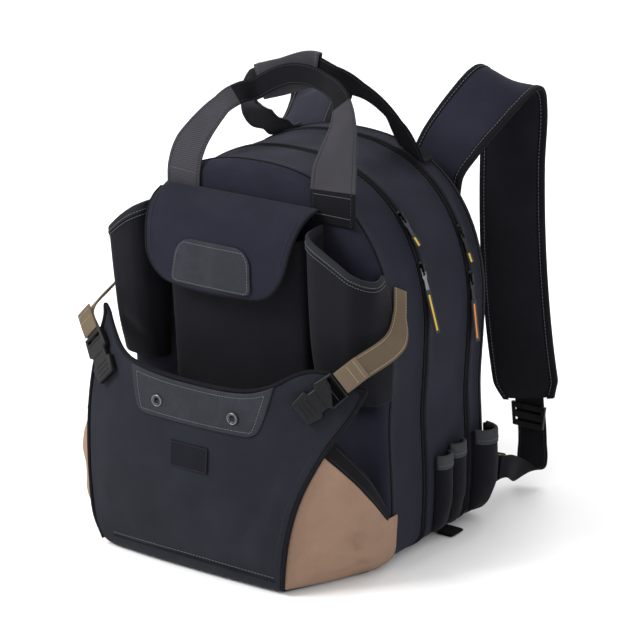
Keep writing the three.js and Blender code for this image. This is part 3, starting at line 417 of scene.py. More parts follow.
ZIP_PLASTIC = MouldedPlastic(
    "zip chain", "black_plastic", (0.004, 0.004, 0.005), (0.02, 0.02, 0.024), rough=0.35
)
DARK_METAL = SatinMetal("dark metal", "grey_metal", (0.02, 0.02, 0.023), (0.1, 0.1, 0.11))
PALE_METAL = SatinMetal("pale metal", "grey_metal", (0.09, 0.09, 0.095), (0.34, 0.34, 0.36), shine=0.3)
PALE_THREAD = TwistedThread("pale thread", "grey_binding", (0.05, 0.052, 0.058), (0.14, 0.145, 0.16))
DARK_THREAD = TwistedThread("dark thread", "black_webbing", (0.01, 0.01, 0.014), (0.034, 0.035, 0.044))
TAN_THREAD = TwistedThread("tan thread", "tan_cloth", (0.2, 0.145, 0.095), (0.42, 0.32, 0.23))
YELLOW_THREAD = TwistedThread("yellow thread", "grey_binding", (0.3, 0.22, 0.02), (0.6, 0.45, 0.06))
YELLOW_TAB = StripedTape(
    "tab with yellow stripe", "black_webbing", (0.004, 0.004, 0.005), (0.018, 0.018, 0.022)
)
ORANGE_TAB = StripedTape(
    "tab with orange stripe", "black_webbing", (0.004, 0.004, 0.005), (0.018, 0.018, 0.022),
    stripe=(0.62, 0.2, 0.03),
)
PAPER = StudioFloor("studio paper", "floor", (0.86, 0.86, 0.87), (0.9, 0.9, 0.9))


# Curves, tables and surfaces


def mix(a: np.ndarray | float, b: np.ndarray | float, t: np.ndarray | float) -> np.ndarray:
    """Straight blend from a to b."""
    return a + (b - a) * t


def unit(a: np.ndarray) -> np.ndarray:
    """Vectors cut to length 1."""
    return a / np.maximum(np.linalg.norm(a, axis=-1, keepdims=True), 1e-12)


def points(x: np.ndarray, y: np.ndarray, z: np.ndarray) -> np.ndarray:
    """Three coordinate arrays joined into points."""
    return np.stack(np.broadcast_arrays(x, y, z), axis=-1).astype(float)


def steady(way: tuple[float, float, float], count: int) -> np.ndarray:
    """One direction, given once for each point of a path."""
    return np.tile(np.array(way, float), (count, 1))


def closed(path: np.ndarray) -> np.ndarray:
    """A path with its first point again at its end."""
    return np.concatenate([path, path[:1]])


def walked(path: np.ndarray) -> np.ndarray:
    """Length walked from a path's start to each of its points."""
    return np.concatenate([[0], np.cumsum(np.linalg.norm(np.diff(path, axis=0), axis=1))])


def at_lengths(path: np.ndarray, run: np.ndarray, where: np.ndarray) -> np.ndarray:
    """A path's values at given lengths along it."""
    return np.stack([np.interp(where, run, path[:, k]) for k in range(3)], axis=1)


def bell(gap: np.ndarray, reach: float) -> np.ndarray:
    """A bell of a distance: 1 at none and 1/e at the reach."""
    return np.exp(-((gap / reach) ** 2))


def read(table: Table, key: str, column: str, value: np.ndarray | float) -> np.ndarray:
    """Reads a column smoothly: a cubic between two rows with slopes taken from the rows beside them.

    Args:
        table: named columns.
        key: the column that value lies in.
        column: the column that is read.
        value: where it is read.

    Returns:
        The column's value there.
    """
    keys, out = np.array(table[key], float), np.array(table[column], float)
    last = len(keys) - 1
    value = np.clip(np.asarray(value, float), keys[0], keys[-1])
    i = np.clip(np.searchsorted(keys[1:], value, "left"), 0, last - 1)
    before, after = np.maximum(i - 1, 0), np.minimum(i + 2, last)
    span = keys[i + 1] - keys[i]
    t = (value - keys[i]) / span
    low = (out[i + 1] - out[before]) / np.maximum(keys[i + 1] - keys[before], 1e-9) * span
    high = (out[after] - out[i]) / np.maximum(keys[after] - keys[i], 1e-9) * span
    t2, t3 = t * t, t * t * t
    start = (2 * t3 - 3 * t2 + 1) * out[i] + (t3 - 2 * t2 + t) * low
    return start + (3 * t2 - 2 * t3) * out[i + 1] + (t3 - t2) * high


def refine(grid: np.ndarray, count: int, axis: int = 0) -> np.ndarray:
    """More points along one axis of a grid, on a cubic through the given ones with straight ends.

    Args:
        grid: rows of points.
        count: how many rows come out.
        axis: the axis that is refined.

    Returns:
        The finer grid.
    """
    rows = np.moveaxis(grid, axis, 0)
    rows = np.concatenate([2 * rows[:1] - rows[1:2], rows, 2 * rows[-1:] - rows[-2:-1]])
    place = np.linspace(0, len(rows) - 3, count)
    i = np.minimum(place.astype(int), len(rows) - 4)
    t = (place - i).reshape((-1,) + (1,) * (rows.ndim - 1))
    a, b, c, d = rows[i], rows[i + 1], rows[i + 2], rows[i + 3]
    fine = b + 0.5 * t * (c - a + t * (2 * a - 5 * b + 4 * c - d + t * (3 * (b - c) + d - a)))
    return np.moveaxis(fine, 0, axis)


def through(corners: np.ndarray, count: int) -> tuple[np.ndarray, np.ndarray]:
    """A centripetal curve through corners, read at equal steps of its station number.

    Args:
        corners: the points it passes.
        count: how many points are read.

    Returns:
        The points and the directions there.
    """
    ends = np.concatenate([2 * corners[:1] - corners[1:2], corners, 2 * corners[-1:] - corners[-2:-1]])

    def at(t: np.ndarray) -> np.ndarray:
        """The curve's points at shares t of its stations."""
        place = np.clip(t, 0, 1) * (len(corners) - 1)
        i = np.minimum(place.astype(int), len(corners) - 2)
        w = (place - i)[:, None]
        p0, p1, p2, p3 = ends[i], ends[i + 1], ends[i + 2], ends[i + 3]
        d0, d1, d2 = (
            np.maximum(np.linalg.norm(b - a, axis=1, keepdims=True) ** 0.5, 1e-4)
            for a, b in ((p0, p1), (p1, p2), (p2, p3))
        )
        m1 = ((p1 - p0) / d0 - (p2 - p0) / (d0 + d1) + (p2 - p1) / d1) * d1
        m2 = ((p2 - p1) / d1 - (p3 - p1) / (d1 + d2) + (p3 - p2) / d2) * d1
        return p1 + m1 * w + (3 * (p2 - p1) - 2 * m1 - m2) * w**2 + (2 * (p1 - p2) + m1 + m2) * w**3

    t = np.linspace(0, 1, count)
    return at(t), unit(at(t + 1e-3) - at(t - 1e-3))


def even(path: np.ndarray, step: float) -> np.ndarray:
    """Equal steps of length along a path, first and last point kept."""
    run = walked(path)
    return at_lengths(path, run, np.linspace(0, run[-1], max(int(round(run[-1] / step)), 2) + 1))


def grid_normals(grid: np.ndarray) -> np.ndarray:
    """Unit normals of a grid: the cross product of its differences along u and along v."""
    return unit(np.cross(np.gradient(grid, axis=1), np.gradient(grid, axis=0)))


WAVES = 18
WAVE_SPAN = 4.2


def ripple(
    where: np.ndarray, size: float, seed: int, stretch: tuple[float, float, float] = (1, 1, 1)
) -> np.ndarray:
    """Smooth unevenness, about -1 to 1: a sum of plane waves of random heading and length.

    Args:
        where: points.
        size: the usual wavelength in millimetres.
        seed: fixes the random headings.
        stretch: how much longer the waves are along each axis.

    Returns:
        One value a point.
    """
    chance = np.random.default_rng(seed)
    heading = unit(chance.normal(size=(WAVES, 3))) / np.array(stretch)
    length = size * chance.uniform(0.7, 1.8, WAVES)
    phase = chance.uniform(0, 2 * math.pi, WAVES)
    return np.sin(where @ heading.T * (2 * math.pi / length) + phase).sum(-1) / WAVE_SPAN


def crease(where: np.ndarray, start: tuple, end: tuple, width: float) -> np.ndarray:
    """A crease from start to end: a bell across the line that fades at both ends, 0 to 1."""
    a, b = np.array(start, float), np.array(end, float)
    run = b - a
    t = np.clip(((where - a) @ run) / (run @ run), 0, 1)
    gap = np.linalg.norm(where - a - t[..., None] * run, axis=-1)
    return bell(gap, width) * (1 - np.abs(2 * t - 1) ** 4)


class Ends(Enum):
    """How a tube-like grid is closed at its first and last ring."""

    OPEN = 0
    CAPPED = 1


def added(name: str, data: bpy.types.ID) -> bpy.types.Object:
    """A new object in the scene, made from its data."""
    made = bpy.data.objects.new(name, data)
    bpy.context.scene.collection.objects.link(made)
    return made


def corners_of(mesh: bpy.types.Mesh) -> np.ndarray:
    """A mesh's vertices in metres, one a row."""
    flat = np.zeros(len(mesh.vertices) * 3, np.float32)
    mesh.vertices.foreach_get("co", flat)
    return flat.reshape(-1, 3)


def set_corners(mesh: bpy.types.Mesh, corners: np.ndarray) -> None:
    """Moves a mesh's vertices to places in metres."""
    mesh.vertices.foreach_set("co", corners.astype(np.float32).ravel())


def set_lay(mesh: bpy.types.Mesh, values: np.ndarray) -> None:
    """Gives a mesh its lay, two values a vertex."""
    loops = np.zeros(len(mesh.loops), np.int32)
    mesh.loops.foreach_get("vertex_index", loops)
    flat = mesh.uv_layers.get("Lay") or mesh.uv_layers.new(name="Lay")
    flat.data.foreach_set("uv", values[loops].astype(np.float32).ravel())


def join_mesh(
    name: str, corners: np.ndarray, quads: np.ndarray, lay: np.ndarray, caps: list[np.ndarray]
) -> bpy.types.Object:
    """Puts arrays into a new mesh object.

    Args:
        name: the piece's name.
        corners: vertices in millimetres.
        quads: vertex numbers of its four-sided faces.
        lay: metres of lay for each quad corner, in the same order.
        caps: faces with more corners, which take a plain lay.

    Returns:
        The object.
    """
    sizes = np.concatenate([np.full(len(quads), 4), np.array([len(c) for c in caps], int)]).astype(np.int32)
    loops = np.concatenate([quads.ravel(), *caps]).astype(np.int32)
    mesh = bpy.data.meshes.new(name)
    mesh.vertices.add(len(corners))
    set_corners(mesh, corners * MM)
    mesh.loops.add(len(loops))
    mesh.loops.foreach_set("vertex_index", loops)
    mesh.polygons.add(len(sizes))
    mesh.polygons.foreach_set("loop_start", np.concatenate([[0], np.cumsum(sizes)[:-1]]).astype(np.int32))
    mesh.polygons.foreach_set("use_smooth", np.ones(len(sizes), bool))
    flat = mesh.uv_layers.new(name="Lay")
    rest = corners[loops[quads.size :]][:, :2] * MM
    flat.data.foreach_set("uv", np.concatenate([lay.reshape(-1, 2), rest]).astype(np.float32).ravel())
    mesh.update(calc_edges=True)
    mesh.validate()
    return added(name, mesh)


def surface(
    name: str, grid: np.ndarray, ring: bool = False, ends: Ends = Ends.OPEN, lay: np.ndarray | None = None
) -> bpy.types.Object:
    """A mesh from a grid of points. Its lay is the length walked along the rows and down the columns.

    Args:
        name: the piece's name.
        grid: rows of points, shaped (v, u, 3).
        ring: whether each row closes on itself.
        ends: whether the first and last rows are capped; a closed form is turned to face outwards.
        lay: the lay in metres, shaped (v, u, 2), where the walked one won't do.

    Returns:
        The object.
    """
    nv, nu = grid.shape[:2]
    walk = np.concatenate([grid, grid[:, :1]], axis=1) if ring else grid
    if lay is None:
        across = np.cumsum(np.linalg.norm(np.diff(walk, axis=1, prepend=walk[:, :1]), axis=2), axis=1)
        down = np.cumsum(np.linalg.norm(np.diff(walk, axis=0, prepend=walk[:1]), axis=2), axis=0)
        lay = np.stack([down, across - across[:, -1:] / 2], axis=2) * MM
    v, u = np.meshgrid(np.arange(nv - 1), np.arange(walk.shape[1] - 1), indexing="ij")
    v, u = v.ravel(), u.ravel()
    near, far = u, (u + 1) % nu if ring else u + 1
    quads = np.stack([v * nu + near, v * nu + far, (v + 1) * nu + far, (v + 1) * nu + near], axis=1)
    laid = np.stack([lay[v, u], lay[v, u + 1], lay[v + 1, u + 1], lay[v + 1, u]], axis=1)
    caps = []
    corners = grid.reshape(-1, 3)
    if ends is Ends.CAPPED:
        caps = [np.arange(nu)[::-1], np.arange(nu) + (nv - 1) * nu]
        middle = corners.mean(0)
        a, b, c, d = (corners[quads[:, k]] - middle for k in range(4))
        if (np.einsum("ij,ij->i", a, np.cross(b, c)) + np.einsum("ij,ij->i", a, np.cross(c, d))).sum() < 0:
            quads, laid = quads[:, ::-1], laid[:, ::-1]
            caps = [c[::-1] for c in caps]
    return join_mesh(name, corners, quads, laid, caps)


def thicken(piece: bpy.types.Object, thickness: float) -> bpy.types.Object:
    """Gives an open surface half the thickness on either side."""
    solid = piece.modifiers.new("wall", "SOLIDIFY")
    solid.thickness = thickness * MM
    solid.offset = 0.0
    solid.use_even_offset = False
    return piece


def soften(piece: bpy.types.Object, levels: int = 1) -> bpy.types.Object:
    """Subdivides a piece smoothly, as finely in view as in a render."""
    smooth = piece.modifiers.new("smooth", "SUBSURF")
    smooth.levels = smooth.render_levels = levels
    return piece


def dress(
    piece: bpy.types.Object, finish: Finish, body: str = "root", replaces: tuple[str, ...] = ()
) -> bpy.types.Object:
    """Gives a piece its finish and its body.

    Args:
        piece: the object.
        finish: what it is made of.
        body: the CAD body that it rides on.
        replaces: the CAD nodes that it stands for.

    Returns:
        The piece.
    """
    piece.data.materials.clear()
    piece.data.materials.append(finish.material())
    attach(piece, body)
    if replaces:
        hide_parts(*replaces)
    LOG.info("%s: %s on %s", piece.name, finish.name, body)
    return piece


def sheet(
    name: str, grid: np.ndarray, thickness: float, finish: Finish, replaces: tuple[str, ...] = (),
    soft: bool = True, ring: bool = False, lay: np.ndarray | None = None,
) -> bpy.types.Object:
    """A sheet: a grid given its thickness and its finish.

    Args:
        name: the piece's name.
        grid: its middle surface.
        thickness: its full thickness.
        finish: what it is made of.
        replaces: the CAD nodes that it stands for.
        soft: whether it is subdivided smoothly.
        ring: whether each row closes on itself.
        lay: its lay, where the walked one won't do.

    Returns:
        The piece.
    """
    made = thicken(surface(name, grid, ring=ring, lay=lay), thickness)
    return dress(soften(made) if soft else made, finish, replaces=replaces)


def paint(piece: bpy.types.Object, finish: Finish, chosen: np.ndarray) -> bpy.types.Object:
    """Gives the chosen faces of a piece, in the order that they were made, another finish."""
    piece.data.materials.append(finish.material())
    index = np.zeros(len(piece.data.polygons), np.int32)
    index[: chosen.size] = chosen.ravel()
    piece.data.polygons.foreach_set("material_index", index)
    return piece


def profile(width: np.ndarray, thick: np.ndarray, flat: float, sides: int) -> tuple[np.ndarray, np.ndarray]:
    """A rounded oblong section: cos and sin of the turn, each raised to a power under 1.

    Args:
        width: widths, one a ring.
        thick: thicknesses, one a ring.
        flat: the power; 0.2 is nearly square, 1 an ellipse.
        sides: corners a ring.

    Returns:
        Offsets across and up, shaped (rings, sides).
    """
    turn = (np.arange(sides) + 0.5) / sides * 2 * math.pi
    c, s = np.cos(turn), np.sin(turn)
    px, py = np.sign(c) * np.abs(c) ** flat, np.sign(s) * np.abs(s) ** flat
    return px * np.asarray(width)[:, None] / 2, py * np.asarray(thick)[:, None] / 2


@dataclass
class Band:
    """A strap or webbing: a section carried along a curve through stations.

    Stations are a table with columns x, y, z (its middle), ax, ay, az (across), width and thick.
    """

    stations: Table
    steps: int = 120
    flat: float = 0.3
    sides: int = 20

    def frames(self) -> dict[str, np.ndarray]:
        """Middle, direction, across, up, width and thickness at each step."""
        corners = np.stack([self.stations[k] for k in ("x", "y", "z")], axis=1).astype(float)
        middle, along = through(corners, self.steps + 1)
        place = np.linspace(0, len(corners) - 1, self.steps + 1)
        rows = np.arange(len(corners))
        columns = ("ax", "ay", "az", "width", "thick")
        column = {k: np.interp(place, rows, np.array(self.stations[k], float)) for k in columns}
        across = np.stack([column["ax"], column["ay"], column["az"]], axis=1)
        across = unit(across - along * (across * along).sum(1, keepdims=True))
        return {
            "middle": middle, "along": along, "across": across, "up": unit(np.cross(along, across)),
            "width": column["width"], "thick": column["thick"],
        }

    def skin(self) -> np.ndarray:
        """Rings of the band: its section turned into each step's across and up."""
        f = self.frames()
        return self.placed(*profile(f["width"], f["thick"], self.flat, self.sides))

    def placed(self, across: np.ndarray, up: np.ndarray) -> np.ndarray:
        """Points at offsets across and up from each step's middle."""
        f = self.frames()
        sideways = across[..., None] * f["across"][:, None]
        return f["middle"][:, None] + sideways + up[..., None] * f["up"][:, None]

    def build(self, name: str) -> bpy.types.Object:
        """The closed band."""
        return surface(name, self.skin(), ring=True, ends=Ends.CAPPED)

    def line(self, share: float, face: float = 1.0, lift: float = 0.1) -> tuple[np.ndarray, np.ndarray]:
        """A line along one face: share runs from -1 to 1 across it, face is 1 or -1."""
        f = self.frames()
        raised = face * (f["thick"] / 2 + lift)
        path = f["middle"] + f["across"] * (share * f["width"] / 2)[:, None] + f["up"] * raised[:, None]
        return path, f["up"] * face


def tube(name: str, path: np.ndarray, radius: float, sides: int, up: tuple) -> bpy.types.Object:
    """A round cord: a circle carried along a path, its frame kept against one direction.

    Args:
        name: the piece's name.
        path: the middle line.
        radius: the circle's radius.
        sides: corners of the circle.
        up: a direction that the path never follows for long.

    Returns:
        The closed tube.
    """
    along = unit(np.gradient(path, axis=0))
    across = unit(np.cross(along, np.array(up) + 1e-3))
    other = np.cross(along, across)
    turn = np.arange(sides) / sides * 2 * math.pi
    ring = np.cos(turn)[:, None] * across[:, None] + np.sin(turn)[:, None] * other[:, None]
    return surface(name, path[:, None] + ring * radius, ring=True, ends=Ends.CAPPED)


def repeat(
    name: str, shape: np.ndarray, faces: list[list[int]], spots: np.ndarray, axes: np.ndarray
) -> bpy.types.Object:
    """Many copies of one small form in one mesh.

    Args:
        name: the piece's name.
        shape: the form's corners.
        faces: its faces, four corners each.
        spots: where the copies stand.
        axes: their three axes, shaped (copies, 3, 3).

    Returns:
        The mesh of all copies.
    """
    corners = (spots[:, None] + np.einsum("ck,nkj->ncj", shape, axes)).reshape(-1, 3)
    quads = (np.arange(len(spots))[:, None, None] * len(shape) + np.array(faces)).reshape(-1, 4)
    lay = np.tile(shape[np.array(faces)][..., :2] * MM, (len(spots), 1, 1))
    return join_mesh(name, corners, quads, lay, [])


def spindle(length: float, radius: float, sides: int = 6) -> tuple[np.ndarray, list[list[int]]]:
    """A stitch: four rings along x, narrow at both ends, with the ends closed by strips."""
    turn = np.arange(sides) / sides * 2 * math.pi
    rows = [(-0.5, 0.35), (-0.36, 1.0), (0.36, 1.0), (0.5, 0.35)]
    corners = np.concatenate(
        [points(x * length, radius * r * np.cos(turn), radius * r * np.sin(turn)) for x, r in rows]
    )
    faces = [
        [r * sides + k, r * sides + (k + 1) % sides, (r + 1) * sides + (k + 1) % sides, (r + 1) * sides + k]
        for r in range(3)
        for k in range(sides)
    ]
    end = 3 * sides
    faces += [[3, 2, 1, 0], [5, 4, 3, 0], [end, end + 1, end + 2, end + 3], [end, end + 3, end + 4, end + 5]]
    return corners, [f[::-1] for f in faces]


STITCH_SHARE = 0.68
STITCH_RADIUS = 0.42
STITCH_LIFT = 0.12


def sew(
    name: str, path: np.ndarray, normals: np.ndarray, thread: Finish = DARK_THREAD, pitch: float = 4.2
) -> bpy.types.Object:
    """A row of stitches along a path.

    Args:
        name: the piece's name.
        path: the line on the cloth's surface.
        normals: the cloth's normals along it.
        thread: the thread's finish.
        pitch: length from stitch to stitch.

    Returns:
        The stitches, one mesh.
    """
    run = walked(path)
    count = max(int(run[-1] / pitch), 1)
    where = (np.arange(count) + 0.5) * run[-1] / count
    out = unit(at_lengths(normals, run, where))
    along = unit(at_lengths(path, run, where + 0.6) - at_lengths(path, run, where - 0.6))
    side = unit(np.cross(out, along))
    shape, faces = spindle(pitch * STITCH_SHARE, STITCH_RADIUS)
    spots = at_lengths(path, run, where) + out * STITCH_LIFT
    return dress(repeat(name, shape, faces, spots, np.stack([along, side, out], axis=1)), thread)


def grid_line(
    grid: np.ndarray, out: tuple, lift: float, v: float | None = None, u: float | None = None
) -> tuple[np.ndarray, np.ndarray]:
    """A line on a grid's face at one share of v or of u.

    Args:
        grid: the cloth's middle surface.
        out: a rough outward direction, which picks the face.
        lift: half the cloth's thickness.
        v: the share of its rows, for a line along u.
        u: the share of its columns, for a line along v.

    Returns:
        The line and its normals.
    """
    normals = grid_normals(grid)
    if (normals @ np.array(out, float)).mean() < 0:
        normals = -normals
    axis, share = (0, v) if u is None else (1, u)
    place = share * (grid.shape[axis] - 1)
    i = min(int(place), grid.shape[axis] - 2)
    pick = [mix(np.take(a, i, axis), np.take(a, i + 1, axis), place - i) for a in (grid, normals)]
    return pick[0] + pick[1] * lift, pick[1]


def copied(name: str, node: str, bevel: float = 0.5) -> bpy.types.Object:
    """A hard CAD piece with rounded edges: its loose triangles merged, then bevelled.

    Args:
        name: the new piece's name.
        node: the CAD node.
        bevel: the rounding of its edges.

    Returns:
        The copy.
    """
    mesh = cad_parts[node].data.copy()
    shape = bmesh.new()
    shape.from_mesh(mesh)
    bmesh.ops.remove_doubles(shape, verts=shape.verts, dist=2e-5)
    bmesh.ops.dissolve_limit(shape, angle_limit=math.radians(2), verts=shape.verts, edges=shape.edges)
    shape.to_mesh(mesh)
    shape.free()
    made = added(name, mesh)
    edge = made.modifiers.new("edge", "BEVEL")
    edge.width = bevel * MM
    edge.segments = 2
    edge.limit_method = "ANGLE"
    edge.angle_limit = math.radians(30)
    edge.use_clamp_overlap = True
    return made


# Sizes that several pieces share, in millimetres

CLOTH = 2.4
SEAM = 0.3
LEATHER_THICK = 1.8
WEBBING = 2.2
TAPE = 0.8


@dataclass
class Shells:
    """The three arched compartments, their zips and the pads' carrier."""

    width: float = 360
    height: float = 455
    shoulder: float = 265
    power: float = 2.35
    corner: float = 30
    middle: float = 42
    mouth: float = 50.6
    front: float = -128.6
    rear: float = 92.6
    front_edge: float = 12
    rear_edge: float = 18
    zip_depth: float = 46.3
    last_inset: float = 179.9

    def fold(self, z: np.ndarray) -> np.ndarray:
        """Soft folds down the sides: three bells of height."""
        share = np.asarray(z) / self.height
        rows = ((0.16, 0.1, 0.006), (0.38, 0.09, -0.007), (0.62, 0.12, 0.004))
        return sum(depth * self.width * bell(share - place, reach) for place, reach, depth in rows)

    def half(self, z: np.ndarray) -> np.ndarray:
        """Half width at a height: straight sides, then a superellipse arch over the shoulder."""
        rise = np.clip((np.asarray(z, float) - self.shoulder) / (self.height - self.shoulder), 0, 1)
        arch = (1 - rise**self.power) ** (1 / self.power)
        return (self.width / 2 + self.fold(z) * np.minimum(np.asarray(z) / (2 * self.corner), 1)) * arch

    def side(self, z: np.ndarray) -> np.ndarray:
        """Half width with the round base corner taken off."""
        under = np.clip(self.corner - np.asarray(z, float), 0, self.corner)
        return self.half(z) - (self.corner - np.sqrt(self.corner**2 - under**2))

    def ring(self, inset: float) -> np.ndarray:
        """The outline at an inset, from the base's middle round to the left: base, corner, side and arch."""
        half = self.width / 2 - inset
        corner = min(max(self.corner - inset, 3), max(half, 0.01))
        base = np.linspace(0.02, 1, 10, endpoint=False)
        turn = np.linspace(0, math.pi / 2, 8)
        rise = np.linspace(0, 1, 20)[1:-1]
        arch = np.linspace(0, math.pi / 2, 46)[:-1]
        x = np.concatenate([
            (half - corner) * base, half - corner + corner * np.sin(turn), np.full(len(rise), half),
            half * np.cos(arch) ** (2 / self.power),
        ])
        z = np.concatenate([
            np.full(len(base), inset),
            inset + corner * (1 - np.cos(turn)),
            mix(inset + corner, self.shoulder, rise),
            self.shoulder + (self.height - inset - self.shoulder) * np.sin(arch) ** (2 / self.power),
        ])
        x = x + self.fold(z) * (x / max(half, 1)) ** 4 * np.minimum(z / (2 * self.corner), 1)
        top = np.array([[0.0, self.height - inset]])
        right = np.stack([x, z], axis=1)
        return np.concatenate([right, top, right[::-1] * [-1, 1]])

    def rings(self, rows: list[tuple[float, float]]) -> np.ndarray:
        """The outline at several depths and insets, given as pairs (y, inset)."""
        return np.stack([points(r[:, 0], y, r[:, 1]) for y, inset in rows for r in [self.ring(inset)]])

    def dented(self, grid: np.ndarray, depth: float, seed: int, edge: float) -> np.ndarray:
        """Cloth that gives a little: ripples push it inwards, less near its sewn edges.

        Args:
            grid: rings of points, sewn along the first and last row.
            depth: how far it gives.
            seed: fixes the ripples.
            edge: how far from a sewn edge the full depth is reached.

        Returns:
            The moved grid.
        """
        normals = grid_normals(grid)
        middle = np.array([0.0, grid[..., 1].mean(), 230.0])
        turn = np.sign(((grid - middle) * normals * [1, 0, 1]).sum(-1, keepdims=True))
        reach = np.minimum(np.abs(grid[..., 1] - grid[0, 0, 1]), np.abs(grid[..., 1] - grid[-1, 0, 1]))
        soft = np.clip(reach / edge, 0, 1) ** 0.8
        wave = ripple(grid, 95, seed, (1, 1.6, 1)) * 0.6 + ripple(grid, 38, seed + 1, (1, 2.2, 1)) * 0.4
        push = depth * soft * np.clip(0.5 - 0.5 * wave, 0, 1) * np.clip(grid[..., 2] / 26, 0, 1)
        return grid - normals * turn * push[..., None]

    def band(self, ends: tuple[float, float], rows: int, seed: int) -> np.ndarray:
        """One side band between two depths, as cloth."""
        return self.dented(self.rings([(y, CLOTH / 2) for y in np.linspace(*ends, rows)]), 3.4, seed, 14)

    def panel(self, face: float, edge: float) -> tuple[np.ndarray, np.ndarray]:
        """A flat panel with a rounded rim: the rim's quarter turn, then rings that shrink to a line.

        Args:
            face: the depth of its face.
            edge: the rim's rounding.

        Returns:
            The grid and its lay, which is flat over the face.
        """
        way = math.copysign(1, face)
        inner = CLOTH / 2
        radius = edge - inner
        turn = np.linspace(0, math.pi / 2, 7)
        depths = face - way * (edge - radius * np.sin(turn))
        rows = list(zip(depths, inner + radius * (1 - np.cos(turn))))
        rows += [(face - way * inner, inset) for inset in (20, 32, 50, 72, 98, 126, 154, self.last_inset)]
        grid = self.rings(rows)
        sag = np.clip((np.array([r[1] for r in rows]) - edge) / 70, 0, 1)[:, None]
        wave = ripple(grid, 120, 31 if way < 0 else 37)
        grid[..., 1] -= way * sag * (1.2 + 1.1 * wave)
        return grid, self.flat_lay(grid)

    def flat_lay(self, grid: np.ndarray) -> np.ndarray:
        """The lay of rings seen from the front: heights and widths, the first column again at the end."""
        return np.concatenate([grid, grid[:, :1]], axis=1)[..., [2, 0]] * MM

    def seam_row(self, name: str, y: float) -> None:
        """Stitches along the outline at one depth."""
        path = self.rings([(y, -0.15)])[0]
        out = unit(np.cross(np.gradient(path, axis=0), SIDEWAYS))
        out *= np.sign(((path - [0, y, 230]) * out).sum(-1, keepdims=True))
        sew(name, path, out, DARK_THREAD, 5.2)

    def build(self) -> None:
        """Bands, panels, seams and zips."""
        bands = (
            ("front_side", (-self.mouth, self.front + self.front_edge), 10, 3, "front_shell"),
            ("middle_side", (-self.middle, self.middle), 12, 11, "middle_shell"),
            ("back_side", (self.mouth, self.rear - self.rear_edge), 6, 23, "back_shell"),
        )
        for name, ends, rows, seed, node in bands:
            sheet(name, self.band(ends, rows, seed), CLOTH, NAVY, (node,), ring=True)
        panels = (
            ("front_panel", self.front, self.front_edge, NAVY),
            ("back_panel", self.rear, self.rear_edge, DARK),
        )
        for name, face, edge, finish in panels:
            grid, lay = self.panel(face, edge)
            sheet(name, grid, CLOTH, finish, ring=True, lay=lay)
            way = math.copysign(1, face)
            path = closed(self.rings([(face - way * edge, 0.2)])[0])
            dress(tube(f"{name}_welt", path, 1.25, 8, SIDEWAYS), PIPING)
            self.seam_row(f"{name}_stitches", face - way * (edge + 3.4))
        for name, way in (("zip_front", -1), ("zip_rear", 1)):
            self.zip(name, way * self.zip_depth, way)
        divider = self.rings([(0.0, inset) for inset in (3.6, 12, 30, 60, 100, 140, self.last_inset)])
        lay = self.flat_lay(divider)
        sheet("inner_divider", divider, CLOTH, DARK, ("middle_divider",), soft=False, ring=True, lay=lay)

    def zip(self, name: str, depth: float, way: int) -> None:
        """One zip: two lips of tape that dip to a chain of teeth, with stitches beside them.

        Args:
            name: the CAD node it stands for.
            depth: the chain's depth.
            way: the side that faces the outer compartment, -1 or 1.
        """
        half = ((-4.1, 0.2), (-3.9, -0.7), (-3.2, -0.9), (-2.4, -0.4), (-1.7, 0.5), (-1.4, 1.5))
        spread = (*half, (0, 1.8), *((-y, inset) for y, inset in reversed(half)))
        grid = self.rings([(depth + y, inset + 0.5) for y, inset in spread])
        sheet(f"{name}_tape", grid, TAPE, PIPING, (name,), soft=False, ring=True)
        path = even(closed(self.rings([(depth, 1.4)])[0]), 1.35)[:-1]
        along = unit(np.roll(path, -1, axis=0) - np.roll(path, 1, axis=0))
        across = steady(SIDEWAYS, len(path))
        turn = np.where(np.arange(len(path)) % 2 == 0, 0.55, -0.55)[:, None]
        tooth = points(
            np.array([-0.5, 0.5, 0.5, -0.5] * 2) * 0.95,
            np.array([-1.3, -1.3, 1.3, 1.3] * 2),
            np.array([-0.6] * 4 + [0.6] * 4),
        )
        sides = [[0, 3, 2, 1], [4, 5, 6, 7], [0, 1, 5, 4], [1, 2, 6, 5], [2, 3, 7, 6], [3, 0, 4, 7]]
        axes = np.stack([along, across, np.cross(along, across)], axis=1)
        dress(repeat(f"{name}_chain", tooth, sides, path + across * turn, axes), ZIP_PLASTIC)
        for side in (-1, 1):
            outer = self.mouth + 3.2 if side == way else self.middle - 3.2
            self.seam_row(f"{name}_stitches_{'out' if side == way else 'in'}", way * outer)


SHELLS = Shells()
SEWN = SHELLS.front - SEAM - CLOTH / 2


